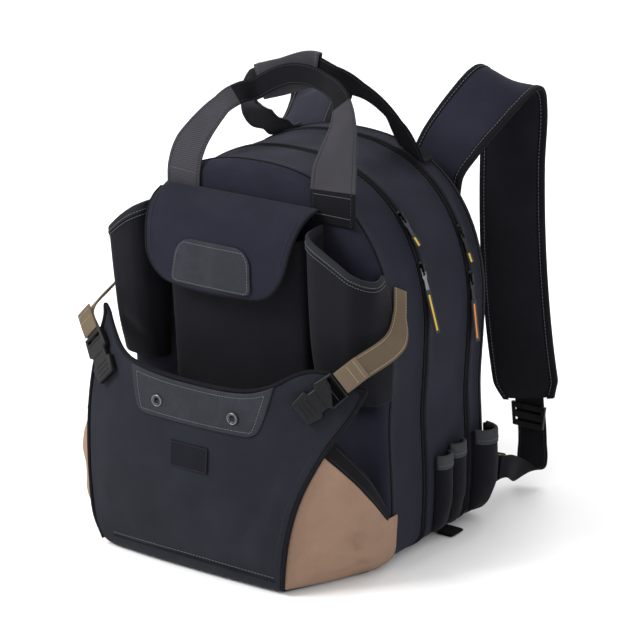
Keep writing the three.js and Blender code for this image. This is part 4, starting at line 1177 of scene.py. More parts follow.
@dataclass
class UpperPocket:
    """The box pocket on the front, its flap and the patch on the flap."""

    width: float = 190
    bottom: float = 172
    top: float = 389
    bulge: float = 42
    flap_width: float = 208
    flap_shift: float = -10
    flap_top: float = 417
    flap_drop: float = 98
    flap_reach: float = 58
    flap_corner: float = 40
    patch_width: float = 112
    patch_start: float = 0.575

    section = {
        "t": [0, 0.14, 0.24, 0.5, 0.76, 0.86, 1],
        "across": [-1, -0.985, -0.9, 0, 0.9, 0.985, 1],
        "out": [0, 0.62, 0.94, 1.06, 0.94, 0.62, 0],
    }
    rows = {
        "v": [0, 0.16, 0.32, 0.5, 0.7, 0.86, 1],
        "reach": [0, 0.32, 0.64, 0.86, 0.96, 1.0, 1.02],
        "drop": [0, 0.03, 0.13, 0.33, 0.6, 0.82, 1],
        "half": [1, 1.0, 0.99, 0.96, 0.92, 0.89, 0.87],
    }

    def flap_point(self, side: np.ndarray, v: np.ndarray) -> np.ndarray:
        """The flap: it reaches out and drops by its table, dished at its middle, with round lower corners."""
        drop = read(self.rows, "v", "drop", v) * self.flap_drop
        left = np.maximum(drop - (self.flap_drop - self.flap_corner), 0)
        cut = self.flap_corner - np.sqrt(np.maximum(self.flap_corner**2 - left**2, 0)) * 0.98
        half = self.flap_width / 2 * read(self.rows, "v", "half", v)
        half = half - np.where(left > 0, cut - self.flap_corner * 0.02, 0)
        seam = SEWN - 2.6
        return points(
            self.flap_shift + side * half,
            seam - self.flap_reach * read(self.rows, "v", "reach", v) - 5 * v * (1 - side * side),
            self.flap_top - drop,
        )

    def build(self) -> None:
        """Pocket, flap, binding, patch and stitches."""
        u, v = np.meshgrid(np.linspace(0, 1, 45), np.linspace(0, 1, 31))
        bulge = self.bulge * np.where(v <= 0, 0.35, mix(0.55, 1, v))
        grid = points(
            self.width / 2 * read(self.section, "t", "across", u),
            SEWN - bulge * read(self.section, "t", "out", u),
            mix(self.bottom, self.top, v),
        )
        soft = np.sin(u * math.pi) ** 0.6
        grid[..., 1] += (ripple(grid, 70, 5) * 0.8 + 0.8) * soft
        sheet("box_pocket", grid, CLOTH, DARK, ("upper_pocket",))

        side, v = np.meshgrid(np.linspace(-1, 1, 47), np.linspace(0, 1, 37) ** 0.9)
        flap = self.flap_point(side, v)
        flap[..., 1] += ripple(flap, 90, 8) * 1.3 * np.clip(v * 3, 0, 1)
        sheet("flap_cloth", flap, CLOTH, NAVY, ("flap",))
        rim = np.concatenate([flap[4:, 0], flap[-1, 1:-1], flap[4:, -1][::-1]])
        rim = refine(even(rim, 7.0), 220)
        dress(tube("flap_rim", rim, 1.7, 8, (0.1, 1, 0.1)), PIPING)
        down = np.linspace(0.08, 0.8, 30)
        for n, (place, drop) in enumerate(((-0.93, down), (0.93, down[::-1]))):
            path = self.flap_point(np.full(30, place), drop) + [0, -CLOTH / 2 - 0.2, 0.3]
            sew(f"flap_stitches_{n + 1}", path, steady((0.0, -0.9, 0.4), 30), DARK_THREAD)
        hem = self.flap_point(np.linspace(-0.8, 0.8, 60), np.full(60, 0.955)) + [0, -CLOTH / 2 - 0.2, 0]
        sew("flap_stitches_3", hem, steady(FORWARD, 60), DARK_THREAD)
        top = self.flap_point(np.linspace(-0.97, 0.97, 60), np.full(60, 0.035)) + [0, -0.3, CLOTH / 2]
        sew("flap_stitches_4", top, steady((0.0, -0.3, 1.0), 60), DARK_THREAD)
        self.patch()

    def patch(self) -> None:
        """The patch: straight lower edge near the hem, round upper corners, sewn all round."""
        corner, low_corner = 20.0, 9.0
        u, v = np.meshgrid(np.linspace(-1, 1, 41), np.linspace(0, 1, 25))
        start, stop = self.patch_start, 0.965
        height = self.flap_drop * 0.52
        from_top = v * height
        round_off = corner - np.sqrt(np.maximum(corner**2 - np.maximum(corner - from_top, 0) ** 2, 0))
        half = self.patch_width / 2 * mix(0.9, 1.0, v) - round_off
        lower = np.maximum(from_top - (height - low_corner), 0)
        half -= low_corner - np.sqrt(np.maximum(low_corner**2 - lower**2, 0))
        side = u * half / (self.flap_width / 2 * read(self.rows, "v", "half", mix(start, stop, v)))
        grid = self.flap_point(np.clip(side, -1, 1), mix(start, stop, v))
        grid[..., 0] = self.flap_shift + u * half
        grid[..., 1] -= CLOTH / 2 + LEATHER_THICK / 2 + 0.4
        sheet("flap_leather", grid, LEATHER_THICK, LEATHER, ("flap_patch",))
        small = refine(refine(grid, 25, 0), 41, 1)
        rows = np.concatenate([small[2:-1, 1][::-1], small[2, 2:-2], small[2:-1, -2], small[-2, 2:-2][::-1]])
        middle = small.mean((0, 1))
        loop = closed(middle + (rows - middle) * [0.985, 1, 0.975] + [0, -LEATHER_THICK / 2 - 0.1, 0])
        sew("flap_leather_stitches", loop, steady((0.0, -1.0, 0.1), len(loop)), PALE_THREAD, 3.6)


@dataclass
class Pouches:
    """The tall pouches either side of the upper pocket."""

    bottom: float = 205
    inner_top: float = 399
    outer_top: float = 352
    outer: float = 178
    bulge: float = 50
    gap: float = 4
    flap_half: float = 104
    flap_shift: float = -10

    section = {
        "t": [0, 0.2, 0.36, 0.5, 0.66, 0.84, 1],
        "across": [0, 0.06, 0.28, 0.52, 0.8, 1.0, 1],
        "out": [0, 0.78, 1.02, 1.0, 0.94, 0.5, 0],
    }
    rows = {"v": [0, 0.3, 0.6, 1], "bulge": [0.4, 0.76, 0.9, 1], "width": [0.99, 0.98, 0.99, 1.03]}

    def grid(self, side: int) -> np.ndarray:
        """The pouch: a bulging section carried up its height, its last column wrapped round the corner."""
        t, v = np.meshgrid(np.linspace(0, 1, 10), np.linspace(0, 1, 33))
        inner = self.flap_half + side * self.flap_shift + self.gap
        across = read(self.section, "t", "across", t)
        z = mix(self.bottom, mix(self.inner_top, self.outer_top, np.minimum(across, 1) ** 1.35), v)
        x = inner + across * (self.outer - inner) * read(self.rows, "v", "width", v)
        out = read(self.section, "t", "out", t) * self.bulge * read(self.rows, "v", "bulge", v)
        y = SEWN - np.where(t <= 0, CLOTH / 2 + SEAM, 0) - out
        last = t >= 1
        outer = SHELLS.half(np.minimum(z, self.outer_top)) + CLOTH / 2 + 2 * SEAM
        return points(side * np.where(last, outer, x), np.where(last, SHELLS.front + SHELLS.front_edge, y), z)

    def build(self) -> None:
        """Both pouches with bindings, pale stitches and a few creases."""
        for word, side in (("left", -1), ("right", 1)):
            grid = refine(self.grid(side), 55, 1)
            normals = grid_normals(grid)
            normals *= -np.sign((normals[..., 1:2]).mean())
            share = np.linspace(0, 1, 55)[None, :]
            soft = np.sin(np.clip(share, 0, 1) * math.pi) ** 0.7
            fold = 0.5 + 0.5 * ripple(grid, 60, 41 + side, (1, 1, 2.4))
            low = crease(grid, (side * 120, -165, 225), (side * 165, -165, 262), 9)
            push = (2.2 * fold + 2.5 * low) * soft * np.linspace(1, 0.15, 33)[:, None]
            grid = grid - normals * push[..., None]
            sheet(f"{word}_pouch", grid, CLOTH, DARK, (f"pouch_{word}",))
            lip = grid[-4:, 1:-2]
            out = grid_normals(grid)[-4:, 1:-2]
            out = out * (-1.0 if out[..., 1].mean() > 0 else 1.0)
            low, low_out = mix(lip[1], lip[2], 0.6), out[2]
            rows = [low + low_out * 1.7, lip[2] + out[2] * 1.75, lip[3] + out[3] * 1.7 + [0, 0, 0.8]]
            rows += [lip[3] + [0, 0, 1.9], lip[3] - out[3] * 1.7 + [0, 0, 0.8], low - low_out * 1.75]
            binding = refine(np.stack(rows), 15, 0)
            sheet(f"{word}_pouch_binding", binding, 0.9, DARK_TAPE, (f"pouch_binding_{word}",), soft=False)
            for n, at in enumerate((1.15, 2.1)):
                i = int(at)
                path = mix(lip[i], lip[i + 1], at - i) + out[i] * 2.35
                sew(f"{word}_pouch_stitches_{n + 1}", path, out[i], PALE_THREAD, 3.4)


@dataclass
class Apron:
    """The large front pocket: panel, floor, piping, patch, eyelets and label."""

    front: float = 250
    rear_width: float = 330
    scoop: float = 227
    left_width: float = 160
    right_width: float = 200
    horn_left: float = 276
    horn_right: float = 246
    patch_height: float = 47
    patch_width: float = 196
    piping: float = 2

    rows = {
        "height": [0.006, 0.028, 0.085, 0.264, 0.5, 0.76, 1, 1.22],
        "out": [0.955, 0.985, 1.0, 1.012, 1.016, 1.0, 0.972, 0.94],
        "left": [0.76, 0.82, 0.9, 0.975, 0.995, 1.0, 0.985, 0.95],
        "right": [0.58, 0.59, 0.6, 0.62, 0.68, 0.8, 0.95, 1.0],
        "setLeft": [0.01, 0.02, 0.04, 0.075, 0.085, 0.09, 0.11, 0.13],
        "setRight": [0.015, 0.015, 0.02, 0.035, 0.06, 0.115, 0.17, 0.2],
    }
    mouth_rows = {
        "across": [-1, -0.86, -0.72, -0.56, 0, 0.34, 0.5, 0.64, 0.74, 0.86, 1],
        "rise": [1, 0.6, 0.25, 0.09, 0, 0.08, 0.55, 1.45, 1.75, 1.5, 0.75],
    }

    def edge(self, side: np.ndarray, z: np.ndarray) -> np.ndarray:
        """Half width at a height, its own on each side, with its sign."""
        share = z / self.scoop
        left = -self.left_width * read(self.rows, "height", "left", share)
        right = self.right_width * read(self.rows, "height", "right", share)
        return np.where(np.asarray(side) < 0, left, right)

    def depth(self, side: np.ndarray, z: np.ndarray) -> np.ndarray:
        """How far forward: the table's reach less a setback that grows to each edge."""
        share = z / self.scoop
        left, right = (read(self.rows, "height", k, share) for k in ("setLeft", "setRight"))
        back = np.where(np.asarray(side) < 0, left, right) * np.abs(side) ** 2.2
        return -self.front * (read(self.rows, "height", "out", share) - back)

    def mouth(self, side: np.ndarray) -> np.ndarray:
        """Height of the scooped mouth."""
        rise = read(self.mouth_rows, "across", "rise", side)
        horn = np.where(np.asarray(side) < 0, self.horn_left, self.horn_right)
        return self.scoop + rise * (horn - self.scoop)

    def point(self, side: np.ndarray, share: np.ndarray) -> np.ndarray:
        """A point of the panel, from its foot (0) to its mouth (1)."""
        z = mix(self.rows["height"][0] * self.scoop, self.mouth(side), share)
        return points(np.abs(side) * self.edge(side, z), self.depth(side, z), np.maximum(z, CLOTH / 2))

    def spot(self, side: float, share: float) -> np.ndarray:
        """One point of the panel."""
        return self.point(np.array([side]), np.array([share]))[0]

    def on(self, x: np.ndarray, z: np.ndarray, lift: float) -> np.ndarray:
        """A point just in front of the panel at given x and z."""
        side = x / np.abs(self.edge(np.sign(x) + (x == 0), z))
        return points(x, self.depth(side, z) - CLOTH / 2 - lift, z)

    def build(self) -> None:
        """Panel with floor, piping, base seam, then what is sewn on it."""
        side, go = np.meshgrid(np.linspace(-1, 1, 67), np.linspace(0, 1, 9, endpoint=False))
        foot = self.point(side, np.zeros_like(side))
        across = mix(side * self.rear_width / 2, foot[..., 0], go)
        floor = points(across, mix(SEWN - SEAM, foot[..., 1], go), CLOTH / 2)
        side, share = np.meshgrid(np.linspace(-1, 1, 67), np.linspace(0, 1, 46) ** 1.25)
        panel = self.point(side, share)
        wave = ripple(panel, 150, 61) * 0.6 + ripple(panel, 55, 62) * 0.25
        calm = np.clip((1 - np.abs(side)) * 5, 0, 1) * np.clip(share * 6, 0, 1)
        creases = (
            ((-60, -250, 214), (-128, -238, 232), 9, 1.0), ((90, -245, 210), (150, -215, 236), 10, 1.0),
            ((-128, -235, 60), (-40, -250, 128), 12, 0.7), ((60, -250, 40), (118, -235, 150), 12, 0.8),
            ((-90, -250, 40), (-20, -250, 92), 16, -0.6),
        )
        pulls = sum(crease(panel, start, end, width) * depth for start, end, width, depth in creases)
        under = np.exp(-(((panel[..., 2] - 203) / 34) ** 4) - ((panel[..., 0] - 5) / 112) ** 6)
        badge = np.exp(-(((panel[..., 2] - 143) / 24) ** 4) - (panel[..., 0] / 38) ** 4)
        panel[..., 1] += calm * (2.6 * wave + 2.6 * pulls) * (1 - 0.75 * under) * (1 - 0.85 * badge)
        sheet("apron_cloth", np.concatenate([floor, panel]), CLOTH, PANEL, ("apron",))

        heights = np.array([0.03, 0.12, 0.3, 0.5, 0.7, 0.88, 0.97])
        clear = self.piping + 6 * SEAM

        def beside(way: int, z: np.ndarray) -> np.ndarray:
            """The piping's line beside one edge."""
            return points(self.edge(way, z) + way * (0.6 * self.piping + CLOTH / 2), self.depth(way, z), z)

        tops = {way: float(self.mouth(way)) for way in (-1, 1)}
        tips = {way: beside(way, np.array([tops[way]])) + [way * 1.8, 0, clear] for way in (-1, 1)}
        lip = self.point(np.linspace(-0.97, 0.97, 49), np.ones(49)) + [0, 0, 0.8 * self.piping]
        path = np.concatenate([
            beside(-1, heights * tops[-1]), tips[-1], lip, tips[1], beside(1, heights * tops[1])[::-1],
        ])
        line, _ = through(path, 360)
        piping = tube("apron_piping", line, self.piping + 0.4, 10, (0.05, 1, 0.05))
        dress(piping, PIPING, replaces=("apron_binding",))

        inset = 0.94
        for word, way in (("left", -1), ("right", 1)):
            z = np.linspace(16, float(self.mouth(way * inset)) - 5, 90)
            path = points(self.edge(way, z) * inset, self.depth(way * inset, z) - CLOTH / 2, z)
            sew(f"apron_side_{word}_stitches", path, steady((way * 0.3, -1.0, 0.0), 90), DARK_THREAD)
        s = np.linspace(-0.93, 0.93, 160)
        path = self.point(s, np.full(160, 1.0)) - [0, 0, 4.2]
        path[:, 1] -= CLOTH / 2
        sew("apron_mouth_stitches", path, steady(FORWARD, 160), PALE_THREAD, 3.8)

        x = np.linspace(-118, 112, 120)
        z = 17 + 3.0 * np.sin((x + 118) / 230 * math.pi)
        seam = self.on(x, z, 0.3)
        dress(tube("apron_base_welt", seam, 0.8, 8, (0.05, 0.1, 1)), PIPING)
        sew("apron_base_stitches", seam + [0, -0.4, 4.0], steady(FORWARD, 120), PALE_THREAD, 4.4)
        self.patch()
        self.badge()

    def patch(self) -> None:
        """The patch under the scoop: its top follows the mouth, its lower corners are round."""
        u, v = np.meshgrid(np.linspace(-1, 1, 45), np.linspace(0, 1, 19))
        low_half, high_half = self.patch_width * 0.41, self.patch_width / 2
        corner = 11.0
        rise = v * self.patch_height
        cut = corner - np.sqrt(np.maximum(corner**2 - np.maximum(corner - rise, 0) ** 2, 0))
        x = u * (mix(low_half, high_half, v**0.8) - cut) + 5
        side = x / np.abs(self.edge(np.sign(x), np.full_like(x, self.scoop)))
        z = mix(self.scoop - self.patch_height, self.mouth(side) - 2 * SEAM, v)
        grid = self.on(x, z, 0.6 + LEATHER_THICK / 2)
        sheet("apron_leather", grid, LEATHER_THICK, LEATHER, ("apron_patch",))
        ring = np.concatenate([grid[-3, 2:-2], grid[2:-3, -3][::-1], grid[2, 2:-2][::-1], grid[2:-3, 2]])
        ring = closed(ring) + [0, -LEATHER_THICK / 2 - 0.1, 0]
        sew("apron_leather_stitches", ring, steady(FORWARD, len(ring)), PALE_THREAD, 3.6)
        self.eyelets()

    def eyelets(self) -> None:
        """Two metal eyelets in the patch, each with a pale metal ring that is a painted highlight and a black
        disc of painted shade in its middle.
        """
        turn = np.linspace(0, 2 * math.pi, 33)[:-1]

        def circles(seat: np.ndarray, radius: np.ndarray, lift: np.ndarray | float) -> np.ndarray:
            """Circles round a seat, one a row, each with its radius and its lift off the patch."""
            across, up = radius[:, None] * np.cos(turn), radius[:, None] * np.sin(turn)
            back = np.broadcast_to(lift, radius.shape)[:, None]
            return points(seat[0] + across, seat[1] - back, seat[2] + up)

        radius = np.array([3.2, 3.2, 3.9, 5.2, 6.7, 7.4, 7.4, 3.2])
        lift = np.array([-0.6, 1.2, 2.0, 2.2, 1.6, 0.6, 0.1, -0.6])
        for word, way in (("left", -1), ("right", 1)):
            x = way * 52.0 + 5
            seat = self.on(np.array([x]), np.array([199.0]), 0.6 + LEATHER_THICK)[0]
            made = surface(f"{word}_eyelet", circles(seat, radius, lift), ring=True)
            dress(soften(made), DARK_METAL, replaces=(f"eyelet_{word}",))
            # A thin pale metal ring round each eyelet: a painted highlight, not a part of the eyelet.
            rim = closed(circles(seat, np.array([6.3]), 1.9)[0])
            dress(tube(f"{word}_eyelet_rim_painted_highlight", rim, 0.45, 8, SIDEWAYS), PALE_METAL)
            # A black disc that closes the eyelet's hole: painted shade standing for the dark inside of the
            # hole.
            hole = circles(seat, np.array([3.3, 1.6, 0.05]), -0.2)
            sheet(f"{word}_eyelet_hole_painted_shade", hole, 0.3, PIPING, soft=False, ring=True)

    def badge(self) -> None:
        """The woven label, bare, sewn round inside its edge."""
        height, half, sewn = 143, (26.5, 15.5), (24.8, 13.8)
        u, v = np.meshgrid(np.linspace(-half[0], half[0], 19), np.linspace(-half[1], half[1], 13))
        sheet("bare_label", self.on(u, height + v, 1.1), 1.0, LABEL_CLOTH, ("label",))
        t = np.linspace(0, 1, 30)[:, None]
        corners = np.array([(-1, 1), (1, 1), (1, -1), (-1, -1), (-1, 1)]) * sewn
        box = np.concatenate([mix(a, b, t) for a, b in zip(corners, corners[1:])])
        path = self.on(box[:, 0], height + box[:, 1], 1.65)
        sew("label_stitches", path, steady(FORWARD, len(path)), DARK_THREAD, 2.6)


APRON = Apron()


@dataclass
class Gussets:
    """Tan cloth between the apron's sides and the body, with a binding along the top."""

    height: float = 68
    apex: float = 168
    bulge: float = 18
    binding: float = 17
    turn: float = 0.85

    rows = {"height": [0, 0.18, 0.36, 0.52, 0.7, 1], "out": [0.15, 0.6, 0.85, 0.7, 1.1, 0.9]}
    section = {"t": [0, 0.25, 0.45, 0.75, 1], "out": [0, 0.85, 1, 0.5, 0]}

    def point(self, side: int, u: np.ndarray, v: np.ndarray, above: np.ndarray | float = 0.0) -> np.ndarray:
        """From the apron's edge, billowing, to the body's corner, then back along the body's side."""
        low = CLOTH * 1.5 + 2 * SEAM
        front_z, rear_z = mix(low, self.apex, v) + above, mix(low, self.height, v) + above
        start = points(
            APRON.edge(side, front_z) + side * (CLOTH / 2 + SEAM),
            APRON.depth(side, front_z) + CLOTH / 2 + APRON.piping + 3 * SEAM, front_z,
        )
        x = side * (SHELLS.side(rear_z) + CLOTH / 2 + 4 * SEAM)
        corner = points(x, SHELLS.front - CLOTH, rear_z)
        back = points(x, SHELLS.front + SHELLS.front_edge + 8, rear_z)
        share = np.clip(u / self.turn, 0, 1)
        out = read(self.section, "t", "out", share) * read(self.rows, "height", "out", v) * self.bulge
        if side < 0:
            out = out + 5.5 * bell(share - 0.16, 0.14) * bell(v - 0.45, 0.4)
        body = mix(start, corner, share[..., None]) + points(side * out, -0.4 * out, 0 * out)
        rest = mix(corner, back, np.clip((u - self.turn) / (1 - self.turn), 0, 1)[..., None])
        return np.where((u > self.turn)[..., None], rest, body)

    def spot(self, side: int, u: float, v: float) -> np.ndarray:
        """One point of a gusset."""
        return self.point(side, np.array([u]), np.array([v]))[0]

    def build(self) -> None:
        """Both gussets with folds, their bindings and stitches."""
        for word, side in (("left", -1), ("right", 1)):
            u, v = np.meshgrid(np.linspace(0, 1, 41), np.linspace(0, 1, 41))
            grid = self.point(side, u, v)
            normals = grid_normals(grid)
            normals = normals * (side * np.sign(normals[..., :1].mean()))
            soft = np.sin(np.clip(u / self.turn, 0, 1) * math.pi) ** 0.7 * np.clip(v * 5, 0.15, 1)
            folds = (
                ((0.06, 0.42), (0.7, 0.2), 7, 6.5), ((0.1, 0.75), (0.62, 0.42), 8, 5.0),
                ((0.15, 0.06), (0.75, 0.22), 6, 5.5), ((0.5, 0.9), (0.6, 0.35), 7, 4.2),
                ((0.05, 0.2), (0.35, 0.34), 7, 2.2),
            )
            push = sum(
                crease(grid, self.spot(side, *start), self.spot(side, *end), width) * depth
                for start, end, width, depth in folds
            )
            push = push - 1.8 * ripple(grid, 46, 71 + side) - 0.8
            grid = grid - normals * (np.maximum(push, -1.2) * soft)[..., None]
            sheet(f"{word}_gusset", grid, CLOTH, TAN, (f"gusset_{word}",))
            u, v = np.meshgrid(np.linspace(0, self.turn + 0.02, 41), np.linspace(0, 1, 7))
            narrow = 1 - 0.5 * np.clip((u - 0.6) / 0.4, 0, 1) ** 1.5
            strip = self.point(side, u, np.ones_like(u), 3 * SEAM - 2.0 + v * (self.binding + 2) * narrow)
            strip = strip + normals[-1:] * (1.3 * (1 - v) * (u < self.turn * 0.98))[..., None] * 0.6
            sheet(f"{word}_gusset_binding", strip, CLOTH + 0.4, BLACK_WEB, (f"gusset_binding_{word}",))
            for n, at in enumerate((0.2, 0.82)):
                line, out = grid_line(strip, (side, 0, 0), v=at, lift=CLOTH / 2 + 0.2)
                sew(f"{word}_gusset_stitches_{n + 1}", line[2:-2], out[2:-2], DARK_THREAD, 3.8)


def stations(rows: list[dict[str, float]]) -> Table:
    """A list of stations as a table of columns."""
    return {k: [r[k] for r in rows] for k in ("x", "y", "z", "ax", "ay", "az", "width", "thick")}


@dataclass
class Handles:
    """Front and rear carrying handles and the sleeve over the rear one's grip.

    Columns of both tables: across is a share of the legs' spread, rise of the way from the legs up to the
    grip, reach of the way from the seat to the grip's depth, width of the webbing's width. The coloured
    parts are given in stations.
    """

    width: float = 48
    thick: float = 2.6
    leg_top: float = 437
    grip_height: float = 544
    front_spread: float = 100
    rear_spread: float = 93
    front_depth: float = -60
    rear_depth: float = -47
    wrap_height: float = 42
    wrap_rise: float = 21
    wrap_ends: tuple[float, float] = (6.3, 8.3)
    black_grip: tuple[float, float] = (3.8, 10.4)
    black_foot: float = 12.9
    grey_leg: float = 5.4

    front_rows = {
        "across": [
            -0.96, -0.95, -0.9, -0.67, -0.54, -0.44, -0.22, 0.02, 0.26, 0.5, 0.8, 1.01, 1.08, 1.1, 1.1
        ],
        "rise": [-0.33, 0, 0.25, 0.645, 0.757, 0.785, 0.907, 1, 1.02, 0.972, 0.888, 0.664, 0.252, 0, -0.33],
        "reach": [0, 0, 0.1, 0.49, 0.715, 0.957, 1, 1, 1, 0.971, 0.772, 0.459, 0.086, 0, 0],
        "ax": [1, 1, 1, 1, 0.7, 0, 0, 0, 0, 0, -0.7, -1, -1, -1, -1],
        "az": [0, 0, 0, 0, -0.7, -1, -1, -1, -1, -1, -0.7, 0, 0, 0, 0],
        "width": [0.96, 0.96, 0.92, 0.64, 0.52, 0.5, 0.5, 0.5, 0.5, 0.5, 0.52, 0.67, 1.2, 1.25, 1.25],
    }
    rear_rows = {
        "across": [
            -1, -1, -1.01, -1.02, -0.935, -0.84, -0.645, -0.16,
            0.258, 0.54, 0.7, 0.806, 0.914, 0.99, 1, 1,
        ],
        "rise": [
            0.006, 0.013, 0.095, 0.16, 0.344, 0.553, 0.763, 0.924,
            1.048, 0.991, 0.848, 0.686, 0.429, 0.13, 0.013, 0.006,
        ],
        "reach": [
            0, 0.137, 0.235, 0.383, 0.613, 0.794, 0.975, 1, 1, 0.975, 0.778, 0.572, 0.367, 0.22, 0.137, 0
        ],
        "ax": [0.9, 0.9, 0.9, 0.9, 0.9, 0.8, 0, 0, 0, 0, -0.8, -0.9, -0.9, -0.9, -0.9, -0.9],
        "az": [0.43, 0.43, 0.43, 0.43, 0.43, -0.45, -1, -1, -1, -1, -0.45, 0, 0.43, 0.43, 0.43, 0.43],
        "width": [0.8, 0.8, 0.8, 0.8, 0.75, 0.72, 0.75, 0.75, 0.75, 0.58, 0.6, 0.62, 0.66, 0.8, 0.8, 0.8],
    }
    wrap_section = {"out": [-1, -1, -0.6, 0.6, 1, 1], "down": [1, 0.1, 0.02, 0.02, 0.1, 1]}

    def band(self, rows: Table, spread: float, foot: float, seat: float, depth: float) -> Band:
        """A handle from its table."""
        column = {k: np.array(v, float) for k, v in rows.items()}
        count = len(rows["ax"])
        return Band({
            "x": list(column["across"] * spread), "y": list(mix(seat, depth, column["reach"])),
            "z": list(mix(foot, self.grip_height, column["rise"])),
            "ax": rows["ax"], "ay": [0.0] * count, "az": rows["az"],
            "width": list(column["width"] * self.width), "thick": [self.thick] * count,
        }, steps=240)

    def passed(self, rows: Table, band: Band) -> np.ndarray:
        """The station that each of a handle's faces lies at."""
        return np.linspace(0, len(rows["ax"]) - 1, band.steps)[:, None] * np.ones(band.sides)

    def rear_foot(self) -> float:
        """Height at which the rear handle leaves the rear shell."""
        share = (1 - (self.rear_spread / (SHELLS.width / 2)) ** SHELLS.power) ** (1 / SHELLS.power)
        return SHELLS.shoulder + (SHELLS.height - SHELLS.shoulder) * share + self.thick / 2 + 3 * SEAM

    def build(self) -> None:
        """Both handles, their edge stitches, and the sleeve."""
        seat = SHELLS.front - SEAM - self.thick / 2
        front = self.band(self.front_rows, self.front_spread, self.leg_top, seat, self.front_depth)
        seat = SHELLS.rear - SHELLS.rear_edge
        rear = self.band(self.rear_rows, self.rear_spread, self.rear_foot(), seat, self.rear_depth)
        made = dress(front.build("front_handle"), GREY_WEB, replaces=("handle_front",))
        place = self.passed(self.front_rows, front)
        grip = (place > self.black_grip[0]) & (place < self.black_grip[1])
        paint(made, BLACK_WEB, grip | (place > self.black_foot))
        made = dress(rear.build("rear_handle"), BLACK_WEB, replaces=("handle_rear",))
        paint(made, GREY_WEB, self.passed(self.rear_rows, rear) < self.grey_leg)
        for word, band in (("front", front), ("rear", rear)):
            for n, (share, face) in enumerate(((0.84, -1), (-0.84, -1), (0.84, 1), (-0.84, 1))):
                path, out = band.line(share, face)
                sew(f"{word}_handle_stitches_{n + 1}", path, out, DARK_THREAD, 4.4)
        self.tacks(front)
        self.sleeve(rear)

    def tacks(self, band: Band) -> None:
        """Box stitches on the front legs: a level row at the top and the foot of each sewn part."""
        f = band.frames()
        share = np.linspace(-0.82, 0.82, 24)[:, None]
        for n, station in enumerate((0.25, 0.9, 13.1, 13.75)):
            k = int(station / (len(self.front_rows["ax"]) - 1) * band.steps)
            out = f["up"][k] * np.sign(-f["up"][k][1])
            line = f["middle"][k] + f["across"][k] * share * f["width"][k] / 2 + out * (self.thick / 2 + 0.1)
            sew(f"front_handle_tack_{n + 1}", line, np.tile(out, (24, 1)), PALE_THREAD, 3.0)

    def sleeve(self, rear: Band) -> None:
        """The sleeve: a folded sheet that hangs over the rear grip and follows its curve."""
        f = rear.frames()
        last = len(self.rear_rows["ax"]) - 1
        first, stop = (int(round(t / last * rear.steps)) for t in self.wrap_ends)
        centre, along = f["middle"][first : stop + 1], f["along"][first : stop + 1]
        down = unit(np.array([0.0, 0.0, -1.0]) + along * along[:, 2:3])
        out = unit(np.cross(along, down))
        half = self.thick / 2 + CLOTH / 2 + 3 * SEAM
        section = np.stack([self.wrap_section["out"], self.wrap_section["down"]], axis=1)
        section = refine(section.astype(float), 31)
        drop = (section[:, 1] * self.wrap_height - self.wrap_rise)[:, None, None]
        grid = centre + down * drop + out * (section[:, 0] * half)[:, None, None]
        grid[..., 1] += 0.3 * ripple(grid, 30, 91)
        sheet("grip_wrap", grid, 1.6, WRAP_CLOTH, ("handle_wrap",))
        for n, at in enumerate((0.05, 0.95)):
            line, normals = grid_line(grid, (0, 0, 1), u=at, lift=0.9)
            sew(f"grip_wrap_stitches_{n + 1}", line, normals, PALE_THREAD, 3.6)


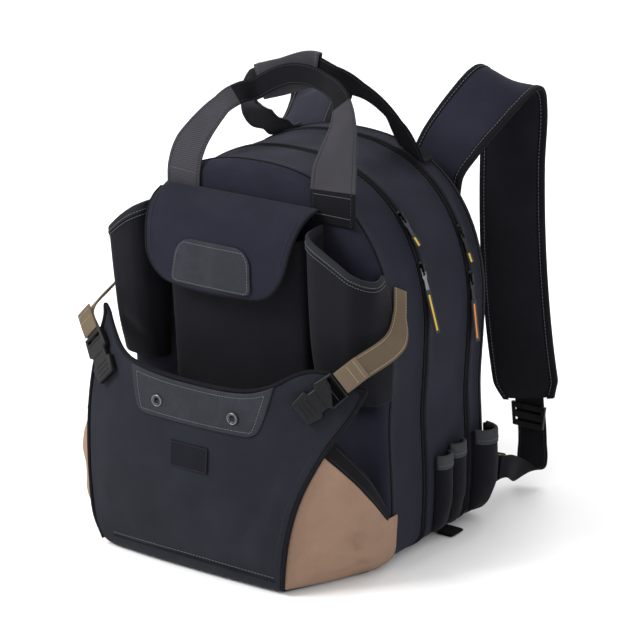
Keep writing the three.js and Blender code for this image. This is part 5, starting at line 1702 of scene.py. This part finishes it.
@dataclass
class Shoulders:
    """Padded shoulder straps, the webbing and adjusters below them, and the wings they are sewn to."""

    width: float = 78
    thick: float = 11
    webbing: float = 38
    reach: float = 120
    sink_start: float = 0.923
    sink_kept: float = 0.38
    pad_sides: int = 48

    rows = {
        "x": [0.2667, 0.275, 0.292, 0.325, 0.364, 0.379, 0.381, 0.381, 0.396, 0.422, 0.447, 0.457],
        "out": [0.052, 0.062, 0.2, 0.483, 0.783, 0.938, 0.992, 0.967, 0.942, 0.954, 0.996, 1.021],
        "z": [0.844, 0.906, 0.963, 1.037, 1.099, 1.09, 1.029, 0.879, 0.659, 0.44, 0.281, 0.233],
        "ay": [0, 0, 0.06, 0.1, 0.14, 0.2, 0.24, 0.26, 0.26, 0.22, 0.17, 0.16],
        "az": [0, -0.04, -0.16, -0.3, -0.36, -0.28, -0.08, 0, 0, 0, 0, 0],
        "width": [0.88, 0.92, 0.98, 1, 1, 1, 1, 1, 1.02, 1.04, 1.06, 0.84],
    }

    def strap(self, side: int) -> Band:
        """One padded strap, from its root on the back panel over the ridge and down."""
        z = np.array(self.rows["z"], float)
        if side < 0:
            z = z - np.maximum(z - self.sink_start, 0) * (1 - self.sink_kept)
        n = len(z)
        return Band({
            "x": list(side * np.array(self.rows["x"], float) * SHELLS.width),
            "y": list(SHELLS.rear + np.array(self.rows["out"], float) * self.reach),
            "z": list(z * SHELLS.height),
            "ax": [float(side)] * n, "ay": self.rows["ay"], "az": self.rows["az"],
            "width": list(self.width * np.array(self.rows["width"])), "thick": [float(self.thick)] * n,
        }, steps=104, flat=0.55, sides=32)

    def padding(self, band: Band) -> np.ndarray:
        """The strap's foam: its section crowned at the middle and pinched to a thin sewn edge."""
        f = band.frames()
        turn = (np.arange(self.pad_sides) + 0.5) / self.pad_sides * 2 * math.pi
        c, s = np.cos(turn), np.sin(turn)
        px = np.sign(c) * np.abs(c) ** 0.42
        crown = 0.32 + 0.68 * np.clip(1 - np.abs(px) ** 3.2, 0, 1) ** 0.55
        py = np.sign(s) * np.abs(s) ** 0.4 * crown
        run = walked(f["middle"])
        ends = 1 - 0.5 * bell(run, 9) - 0.5 * bell(run[-1] - run, 9)
        across = px * f["width"][:, None] / 2 * 0.985
        up = py * (f["thick"] * ends)[:, None] / 2 * 1.04
        grid = band.placed(across, up)
        dimple = 0.3 * ripple(grid, 50, 17)
        return grid - f["up"][:, None] * (np.sign(py) * np.abs(dimple) * (np.abs(px) < 0.9))[..., None]

    def build(self) -> None:
        """Everything on both sides."""
        for word, side in (("left", -1), ("right", 1)):
            band = self.strap(side)
            made = surface(f"{word}_shoulder_pad", self.padding(band), ring=True, ends=Ends.CAPPED)
            dress(soften(made), NAVY, replaces=(f"shoulder_strap_{word}",))
            turn = (np.arange(self.pad_sides) + 1.0) / self.pad_sides * 2 * math.pi
            paint(made, MESH_CLOTH, np.ones(band.steps)[:, None] * (np.sin(turn) * side > 0))
            f = band.frames()
            for n, share in enumerate((-1, 1)):
                edge = f["middle"] + f["across"] * (share * f["width"] / 2 * 0.985)[:, None]
                up, across = f["up"][:, None], f["across"][:, None]
                turn = np.linspace(-math.pi / 2, math.pi / 2, 9)
                hook_out, hook_up = np.cos(turn) * 1.6, np.sin(turn) * 3.0
                rim = edge[:, None] + across * (share * hook_out)[None, :, None] + up * hook_up[None, :, None]
                flat_in = edge[:, None] + across * (-share * 7.0) + up * np.array([-3.9, 3.9])[None, :, None]
                rim = np.concatenate([flat_in[:, :1], rim, flat_in[:, 1:]], axis=1)
                sheet(f"{word}_pad_binding_{n + 1}", rim, TAPE, PIPING, soft=False)
                for m, face in enumerate((-1, 1)):
                    inner = (share * (f["width"] / 2 - 5.4))[:, None]
                    path = f["middle"] + f["across"] * inner + f["up"] * face * 4.4
                    name = f"{word}_pad_stitches_{n + 1}_{m + 1}"
                    sew(name, path[2:-2], f["up"][2:-2] * face, PALE_THREAD, 4.4)
            self.lower(word, side)

    def lower(self, word: str, side: int) -> None:
        """Webbing, adjuster and wing of one side."""
        lock_y, lock_z = SHELLS.rear + 123, 84
        w, thick = self.webbing, WEBBING

        def s(x: float, y: float, z: float, ax: float, ay: float, az: float, width: float) -> dict:
            """One station on this side."""
            across = {"ax": side * ax, "ay": ay, "az": az}
            return {"x": side * x, "y": y, "z": z, **across, "width": width, "thick": thick}

        run = [
            s(166, lock_y + 2, lock_z + 10, 1, 0.1, 0, w), s(168, lock_y + 3, lock_z - 14, 1, 0.1, 0, w),
            s(171, lock_y, lock_z - 36, 1, 0.1, 0, w), s(175, lock_y - 8, 26, 1, 0.5, 0, w),
            s(178, lock_y - 26, 19, 0.7, 0.2, 0.5, 30), s(181, lock_y - 52, 32, 0.2, 0.2, 0.9, 30),
            s(188.4, SHELLS.rear + 36, 50, 0, 0.1, 1, 28), s(185.4, SHELLS.rear + 21, 52, 0, 0, 1, 28),
        ]
        band = Band(stations(run), steps=90)
        dress(band.build(f"{word}_lower_webbing"), BLACK_WEB, replaces=(f"strap_webbing_{word}",))
        for n, share in enumerate((-0.82, 0.82)):
            path, out = band.line(share)
            sew(f"{word}_lower_stitches_{n + 1}", path, out, DARK_THREAD)
        lock = f"ladder_lock_{word}"
        dress(copied(f"{word}_adjuster", lock, 0.9), BLACK_PLASTIC, replaces=(lock,))
        tab = Band(stations([
            s(164.6, lock_y - 1, 120, 1, 0.14, 0, w), s(165, lock_y, 104, 1, 0.12, 0, w),
            s(166, lock_y + 1.5, lock_z + 6, 1, 0.1, 0, w),
        ]), steps=24)
        dress(tab.build(f"{word}_pad_tab"), BLACK_WEB)
        wing = [
            {"x": side * 150, "y": SHELLS.rear + CLOTH + 0.2, "z": 54, "width": 56},
            {"x": side * 164, "y": SHELLS.rear + CLOTH + 1, "z": 54, "width": 52},
            {"x": side * 178, "y": SHELLS.rear + 14, "z": 53, "width": 42},
            {"x": side * 184, "y": SHELLS.rear + 33, "z": 51, "width": 30},
        ]
        rows = [{**r, "ax": 0.0, "ay": 0.0, "az": 1.0, "thick": CLOTH * 1.6} for r in wing]
        band = Band(stations(rows), steps=40)
        dress(band.build(f"{word}_wing"), NAVY, replaces=(f"wing_{word}",))
        for n, share in enumerate((-0.86, 0.86)):
            for m, face in enumerate((-1, 1)):
                path, out = band.line(share, face)
                thread = YELLOW_THREAD if n else DARK_THREAD
                sew(f"{word}_wing_stitches_{n + 1}_{m + 1}", path, out, thread, 3.4)


@dataclass
class BackPad:
    """The padded back panel: foam cells swollen by simulation, then sewn channels."""

    width: float = 270
    bottom: float = 26
    top: float = 372
    thick: float = 9
    power: float = 4.5
    levels: tuple[float, float, float] = (110, 200, 290)
    upright: float = 34
    channel: float = 5

    def ring(self, inset: float) -> tuple[np.ndarray, np.ndarray]:
        """Its outline at an inset, a superellipse, as places across and heights."""
        turn = np.arange(96) / 96 * 2 * math.pi
        c, s = np.cos(turn), np.sin(turn)
        middle = (self.bottom + self.top) / 2
        half = (self.top - self.bottom) / 2
        x = (self.width / 2 - inset) * np.sign(c) * np.abs(c) ** (2 / self.power)
        return x, middle + (half - inset) * np.sign(s) * np.abs(s) ** (2 / self.power)

    def build(self) -> None:
        """A thin pad on the rear face that swells, with channels pressed into it afterwards."""
        seat = SHELLS.rear + SEAM
        rows = [
            (0, 0.0), (0.3, 0.1), (0.55, 0.6), (0.7, 3), (0.76, 9),
            (0.78, 20), (0.79, 45), (0.8, 80), (0.8, 110), (0.8, 134),
        ]
        rings = [points(self.ring(i)[0], seat + s * self.thick * 0.85, self.ring(i)[1]) for s, i in rows]
        base = [points(self.ring(i)[0], seat, self.ring(i)[1]) for i in (134, 90, 45, 12)]
        made = surface("rear_pad", np.stack(base + rings), ring=True, ends=Ends.CAPPED)
        made = swell(made, 0.005, 3.0, (0, 1, 0))
        self.channels(made, seat)
        dress(made, MESH_CLOTH, replaces=("back_pad",))
        x, z = self.ring(3)
        dress(tube("rear_pad_rim", closed(points(x, seat + 2.4, z)), 2.1, 10, SIDEWAYS), PIPING)

    def channels(self, pad: bpy.types.Object, seat: float) -> None:
        """Presses two upright channels and three level ones into the pad's rear face."""
        mesh = pad.data
        co = corners_of(mesh) / MM
        beyond = np.abs(co[:, 0]) > self.upright
        level = sum(bell(co[:, 2] - z, self.channel) for z in self.levels) * beyond
        upright = sum(bell(co[:, 0] - x, self.channel) for x in (-self.upright, self.upright))
        press = np.maximum(level, upright) * np.clip((co[:, 1] - seat - 2) / 3, 0, 1)
        co[:, 1] -= press * np.minimum(4.6, np.maximum(co[:, 1] - seat - 1.5, 0))
        co[:, 1] = np.minimum(co[:, 1], seat + self.thick + 2.5)
        set_corners(mesh, co * MM)
        mesh.update()


SWELL_FRAMES = 20


def swell(piece: bpy.types.Object, voxel: float, cap: float, way: tuple[int, int, int]) -> bpy.types.Object:
    """Inflates a padded piece by cloth simulation and keeps the result in its mesh.

    Args:
        piece: the closed form to swell.
        voxel: the remesh size in metres.
        cap: the furthest that a point may move, in millimetres.
        way: the axes that it may move along.

    Returns:
        The swollen piece, under the same name.
    """
    remesh = piece.modifiers.new("even", "REMESH")
    remesh.mode = "VOXEL"
    remesh.voxel_size = voxel
    scene = bpy.context.scene
    shape = bpy.data.meshes.new_from_object(piece.evaluated_get(bpy.context.evaluated_depsgraph_get()))
    piece.modifiers.remove(remesh)
    piece.data = shape
    before = corners_of(shape)
    cloth = piece.modifiers.new("swell", "CLOTH")
    cloth.settings.use_pressure = True
    cloth.settings.uniform_pressure_force = 4.0
    cloth.settings.effector_weights.gravity = 0.0
    cloth.settings.quality = 4
    cloth.point_cache.frame_start, cloth.point_cache.frame_end = 1, SWELL_FRAMES
    for step in range(1, SWELL_FRAMES + 1):
        scene.frame_set(step)
    swollen = bpy.data.meshes.new_from_object(piece.evaluated_get(bpy.context.evaluated_depsgraph_get()))
    piece.modifiers.remove(cloth)
    move = corners_of(swollen) - before
    length = np.linalg.norm(move, axis=1, keepdims=True)
    move *= np.minimum(1, cap * MM / np.maximum(length, 1e-9)) * np.array(way)
    set_corners(shape, before + move)
    shape.polygons.foreach_set("use_smooth", np.ones(len(shape.polygons), bool))
    set_lay(shape, (before + move)[:, [2, 0]])
    shape.update()
    scene.frame_set(1)
    return soften(piece)


@dataclass
class HornStraps:
    """Tan webbing straps with fastened buckles that hold the apron's horns."""

    width: float = 27
    length: float = 58
    buckle_width: float = 36
    buckle_thick: float = 8
    top_height: float = 330
    fold_height: float = 284

    seats = {"left": (-0.9, 0.86, CLOTH / 2), "right": (0.8, 0.9, SEAM)}

    def build(self) -> None:
        """Both straps; the buckles keep their CAD form with rounded edges and moulded detail."""
        for word, side in (("left", -1), ("right", 1)):
            spot, share, clear = self.seats[word]
            sideways = APRON.spot(spot + 0.05, share) - APRON.spot(spot - 0.05, share)
            upwards = APRON.spot(spot, share + 0.05) - APRON.spot(spot, share - 0.05)
            facing = unit(np.cross(sideways, upwards))
            centre = APRON.spot(spot, share) + facing * (APRON.piping + clear + self.buckle_thick / 2)
            seat = SHELLS.front + SHELLS.front_edge + 8
            out = float(SHELLS.half(self.top_height)) + WEBBING / 2 + 3 * SEAM
            top = np.array([side * out, seat + self.width / 2, self.top_height])
            fold = np.array([side * (SHELLS.width / 2 + 15), SHELLS.front - 2, self.fold_height])
            run = centre - fold
            run = unit(run - facing * (run @ facing))
            across = np.cross(facing, run)
            hang = {"ax": 0.0, "ay": float(side), "az": 0.0, "width": self.width * 0.8, "thick": WEBBING}
            flat = {"ax": across[0], "ay": across[1], "az": across[2], "width": self.width, "thick": WEBBING}
            half = np.array([mix(top[0], fold[0], 0.5), mix(top[1], fold[1], 0.4), mix(top[2], fold[2], 0.5)])
            before, end = centre - run * (self.length / 2 + 24), centre - run * (self.length / 2 + SEAM)
            spots = ((top, hang), (half, hang), (fold, flat), (before, flat), (end, flat))
            band = Band(stations([{**kind, "x": p[0], "y": p[1], "z": p[2]} for p, kind in spots]), steps=90)
            dress(band.build(f"{word}_horn_strap"), TAN_WEB, replaces=(f"strap_{word}",))
            for n, place in enumerate((-0.8, 0.8)):
                for m, face in enumerate((-1, 1)):
                    path, out = band.line(place, face)
                    sew(f"{word}_horn_stitches_{n + 1}_{m + 1}", path, out, TAN_THREAD, 3.4)
            flat["width"] = self.width * 0.98
            spots = [centre - run * back + facing * rise for back, rise in ((62, 3.2), (44, 3.6), (31, 3.0))]
            tail = Band(stations([{**flat, "x": p[0], "y": p[1], "z": p[2]} for p in spots]), steps=30)
            dress(tail.build(f"{word}_horn_tail"), TAN_WEB)
            path, out = tail.line(0.0)
            cross = np.linspace(-0.85, 0.85, 20)[:, None]
            f = tail.frames()
            for n, place in enumerate((4, 12)):
                line = f["middle"][place] + f["across"][place] * cross * f["width"][place] / 2
                line = line + f["up"][place] * 1.2
                sew(f"{word}_horn_tack_{n + 1}", line, np.tile(f["up"][place], (20, 1)), TAN_THREAD, 2.8)
            buckle = f"buckle_{word}"
            dress(copied(f"{word}_buckle", buckle, 0.7), BLACK_PLASTIC, replaces=(buckle,))
            self.ribs(word, centre, run, facing)

    def ribs(self, word: str, centre: np.ndarray, run: np.ndarray, facing: np.ndarray) -> None:
        """Moulded ribs on the buckle's face: short rounded bars across it."""
        across = np.cross(run, facing)
        t = np.linspace(-1, 1, 15)
        bars = ((-0.02, 0.6), (0.2, 0.56), (0.3, 0.56), (0.4, 0.54), (-0.3, 0.74))
        for n, (place, reach) in enumerate(bars):
            path = centre + facing * (self.buckle_thick / 2 - 0.1) + run * place * self.length
            path = path + across * (t * reach * self.buckle_width / 2)[:, None]
            dress(tube(f"{word}_buckle_rib_{n + 1}", path, 0.75, 8, tuple(facing)), BLACK_PLASTIC)


@dataclass
class SidePockets:
    """The narrow pockets on the right side, and the tab at the base."""

    base: float = 17
    bulge: float = 12
    pen_width: float = 25

    def grid(self, front: float, rear: float, top: float, bulge: float) -> np.ndarray:
        """A half-round section carried up the side, slimmer at its foot."""
        u, v = np.meshgrid(np.linspace(0, 1, 23), np.linspace(0, 1, 29))
        turn = math.pi * u
        y = mix(front, rear, (1 - np.cos(turn)) / 2)
        z = mix(self.base, top, v**1.5)
        out = bulge * np.sin(turn) ** 0.7 * mix(0.35, 1, np.minimum(v * 2, 1))
        over = np.maximum(y - (SHELLS.rear - SHELLS.rear_edge), 0)
        shell = SHELLS.side(z) - (SHELLS.rear_edge - np.sqrt(np.maximum(SHELLS.rear_edge**2 - over**2, 0)))
        grid = points(shell + 2.5 * SEAM + out, y, z)
        grid[..., 0] -= np.sin(turn) * (1 - v) * np.abs(ripple(grid, 34, 51)) * 1.6
        return grid

    def build(self) -> None:
        """Three pockets with bound mouths, and the tab."""
        first = -SHELLS.middle + 16
        second = first + self.pen_width + 4
        rows = (
            ("pen_pocket_1", first, first + self.pen_width, 110.0, self.bulge),
            ("pen_pocket_2", second, min(second + self.pen_width, SHELLS.middle - 4), 116.0, self.bulge),
            ("knife_pocket", SHELLS.mouth + 3, SHELLS.rear - 6, 118.0, 22.0),
        )
        for node, front, rear, top, bulge in rows:
            grid = self.grid(front, rear, top, bulge)
            sheet(f"{node}_cloth", grid, CLOTH, DARK, (node,))
            normals = grid_normals(grid)
            normals *= np.sign(normals[..., :1].mean())
            lip, out = grid[-4:], normals[-4:]
            over = lip[3] + [0, 0, 0.9]
            strip = [lip[0] + out[0] * 1.6, lip[2] + out[2] * 1.7, over + out[3] * 1.5, over - out[3] * 1.5]
            strip = refine(np.stack([*strip, lip[2] - out[2] * 1.6]), 13, 0)
            sheet(f"{node}_binding", strip[:, 1:-1], TAPE, GREY_TAPE, soft=False)
            sew(f"{node}_stitches", lip[1, 2:-2] + out[1, 2:-2] * 2.1, out[1, 2:-2], PALE_THREAD, 3.2)
        self.tab()

    def tab(self) -> None:
        """The webbing tab at the foot of the side: a flat loop."""
        start = float(SHELLS.side(4)) + SEAM
        row = {"ax": 0.0, "ay": 1.0, "az": 0.0, "width": 24.0, "thick": 1.7}
        spots = ((0, 3.6), (14, 3.5), (21, 3.2), (23, 2.4), (21, 1.4), (14, 1.2), (2, 1.1))
        rows = [{**row, "x": start + out, "y": 16.0, "z": z} for out, z in spots]
        band = Band(stations(rows), steps=60)
        dress(band.build("foot_tab"), BLACK_WEB, replaces=("base_tab",))


@dataclass
class ZipPulls:
    """Sliders, swinging pullers and their tabs on the right side."""

    def build(self) -> None:
        """Rounded copies of the hard pieces; each tab is a soft loop of tape on its puller's body."""
        for where in ("front", "rear"):
            for number in (1, 2):
                tag = f"{where}_{number}"
                slider = copied(f"slider_{tag}", f"zip_slider_{tag}", 0.35)
                dress(slider, BLACK_PLASTIC, replaces=(f"zip_slider_{tag}",))
                pull = copied(f"pull_{tag}", f"zip_pull_{tag}", 0.3)
                metal = {"front_1": DARK_METAL, "front_2": PALE_METAL}.get(tag, BLACK_PLASTIC)
                dress(pull, metal, f"puller_{tag}", (f"zip_pull_{tag}",))
                tab = copied(f"tab_{tag}", f"zip_tab_{tag}", 0.4)
                self.lay(tab)
                finish = ORANGE_TAB if (where, number) == ("rear", 2) else YELLOW_TAB
                dress(tab, finish, f"puller_{tag}", (f"zip_tab_{tag}",))

    def lay(self, tab: bpy.types.Object) -> None:
        """Gives a tab its lay: the shares of its height from top to bottom and of its width."""
        co = corners_of(tab.data)
        down = (co[:, 2].max() - co[:, 2]) / max(float(np.ptp(co[:, 2])), 1e-6)
        over = (co[:, 1] - co[:, 1].min()) / max(float(np.ptp(co[:, 1])), 1e-6)
        set_lay(tab.data, np.stack([down, over], axis=1))


@dataclass
class Studio:
    """Floor, lights and the photograph's camera."""

    azimuth: float = 35.2
    elevation: float = 19.3
    distance: float = 3.211
    lens: float = 154.0
    aim: tuple[float, float] = (0.0078, 0.0134)
    floor_half: float = 6000

    def camera(self) -> None:
        """Stands at the photograph's angle and distance, aimed a little right of and above the target."""
        target = Vector((0.0, -0.040, 0.200))
        a, e = math.radians(self.azimuth), math.radians(self.elevation)
        back = Vector((math.sin(a) * math.cos(e), -math.cos(a) * math.cos(e), math.sin(e)))
        data = bpy.data.cameras.new("camera")
        data.lens = self.lens
        data.sensor_width = 36.0
        data.clip_end = 50.0
        made = added("camera", data)
        made.location = target + back * self.distance
        right = Vector((math.cos(a), math.sin(a), 0.0))
        up = right.cross(-back).normalized()
        look = -back + right * self.aim[0] + up * self.aim[1]
        made.rotation_euler = look.to_track_quat("-Z", "Y").to_euler()
        bpy.context.scene.camera = made

    def light(self, name: str, place: tuple, size: float, power: float, colour: Colour = (1, 1, 1)) -> None:
        """One soft square light aimed at the bag."""
        data = bpy.data.lights.new(name, "AREA")
        data.size = size
        data.energy = power
        data.color = colour
        made = added(name, data)
        made.location = place
        made.rotation_euler = (Vector((0, -0.05, 0.25)) - Vector(place)).to_track_quat("-Z", "Y").to_euler()

    def build(self) -> None:
        """A flat pale floor, three soft lights and an even sky."""
        self.camera()
        t = np.linspace(0, 1, 25)[:, None]
        x = np.linspace(-self.floor_half, self.floor_half, 3)[None, :]
        y = mix(-self.floor_half, self.floor_half, t)
        floor = surface("studio_floor", points(x, y, -0.6 - 0 * t))
        floor.data.materials.append(PAPER.material())
        self.light("key", (-1.7, -2.3, 2.5), 1.4, 130.0)
        self.light("side", (3.0, -1.4, 1.2), 1.4, 14.0)
        self.light("rim", (-0.4, 2.2, 3.0), 1.6, 55.0)
        world = bpy.data.worlds.new("sky")
        bpy.context.scene.world = world
        world.use_nodes = True
        sky = world.node_tree.nodes["Background"]
        sky.inputs["Color"].default_value = (1, 1, 1, 1)
        sky.inputs["Strength"].default_value = 0.95
        bpy.context.scene.view_settings.view_transform = "Standard"


def main() -> None:
    """Builds the bag's looks in order."""
    logging.basicConfig(level=logging.INFO, format="%(name)s: %(message)s")
    Studio().build()
    SHELLS.build()
    UpperPocket().build()
    Pouches().build()
    APRON.build()
    Gussets().build()
    Handles().build()
    Shoulders().build()
    BackPad().build()
    HornStraps().build()
    SidePockets().build()
    ZipPulls().build()


if __name__ == "__main__":
    main()
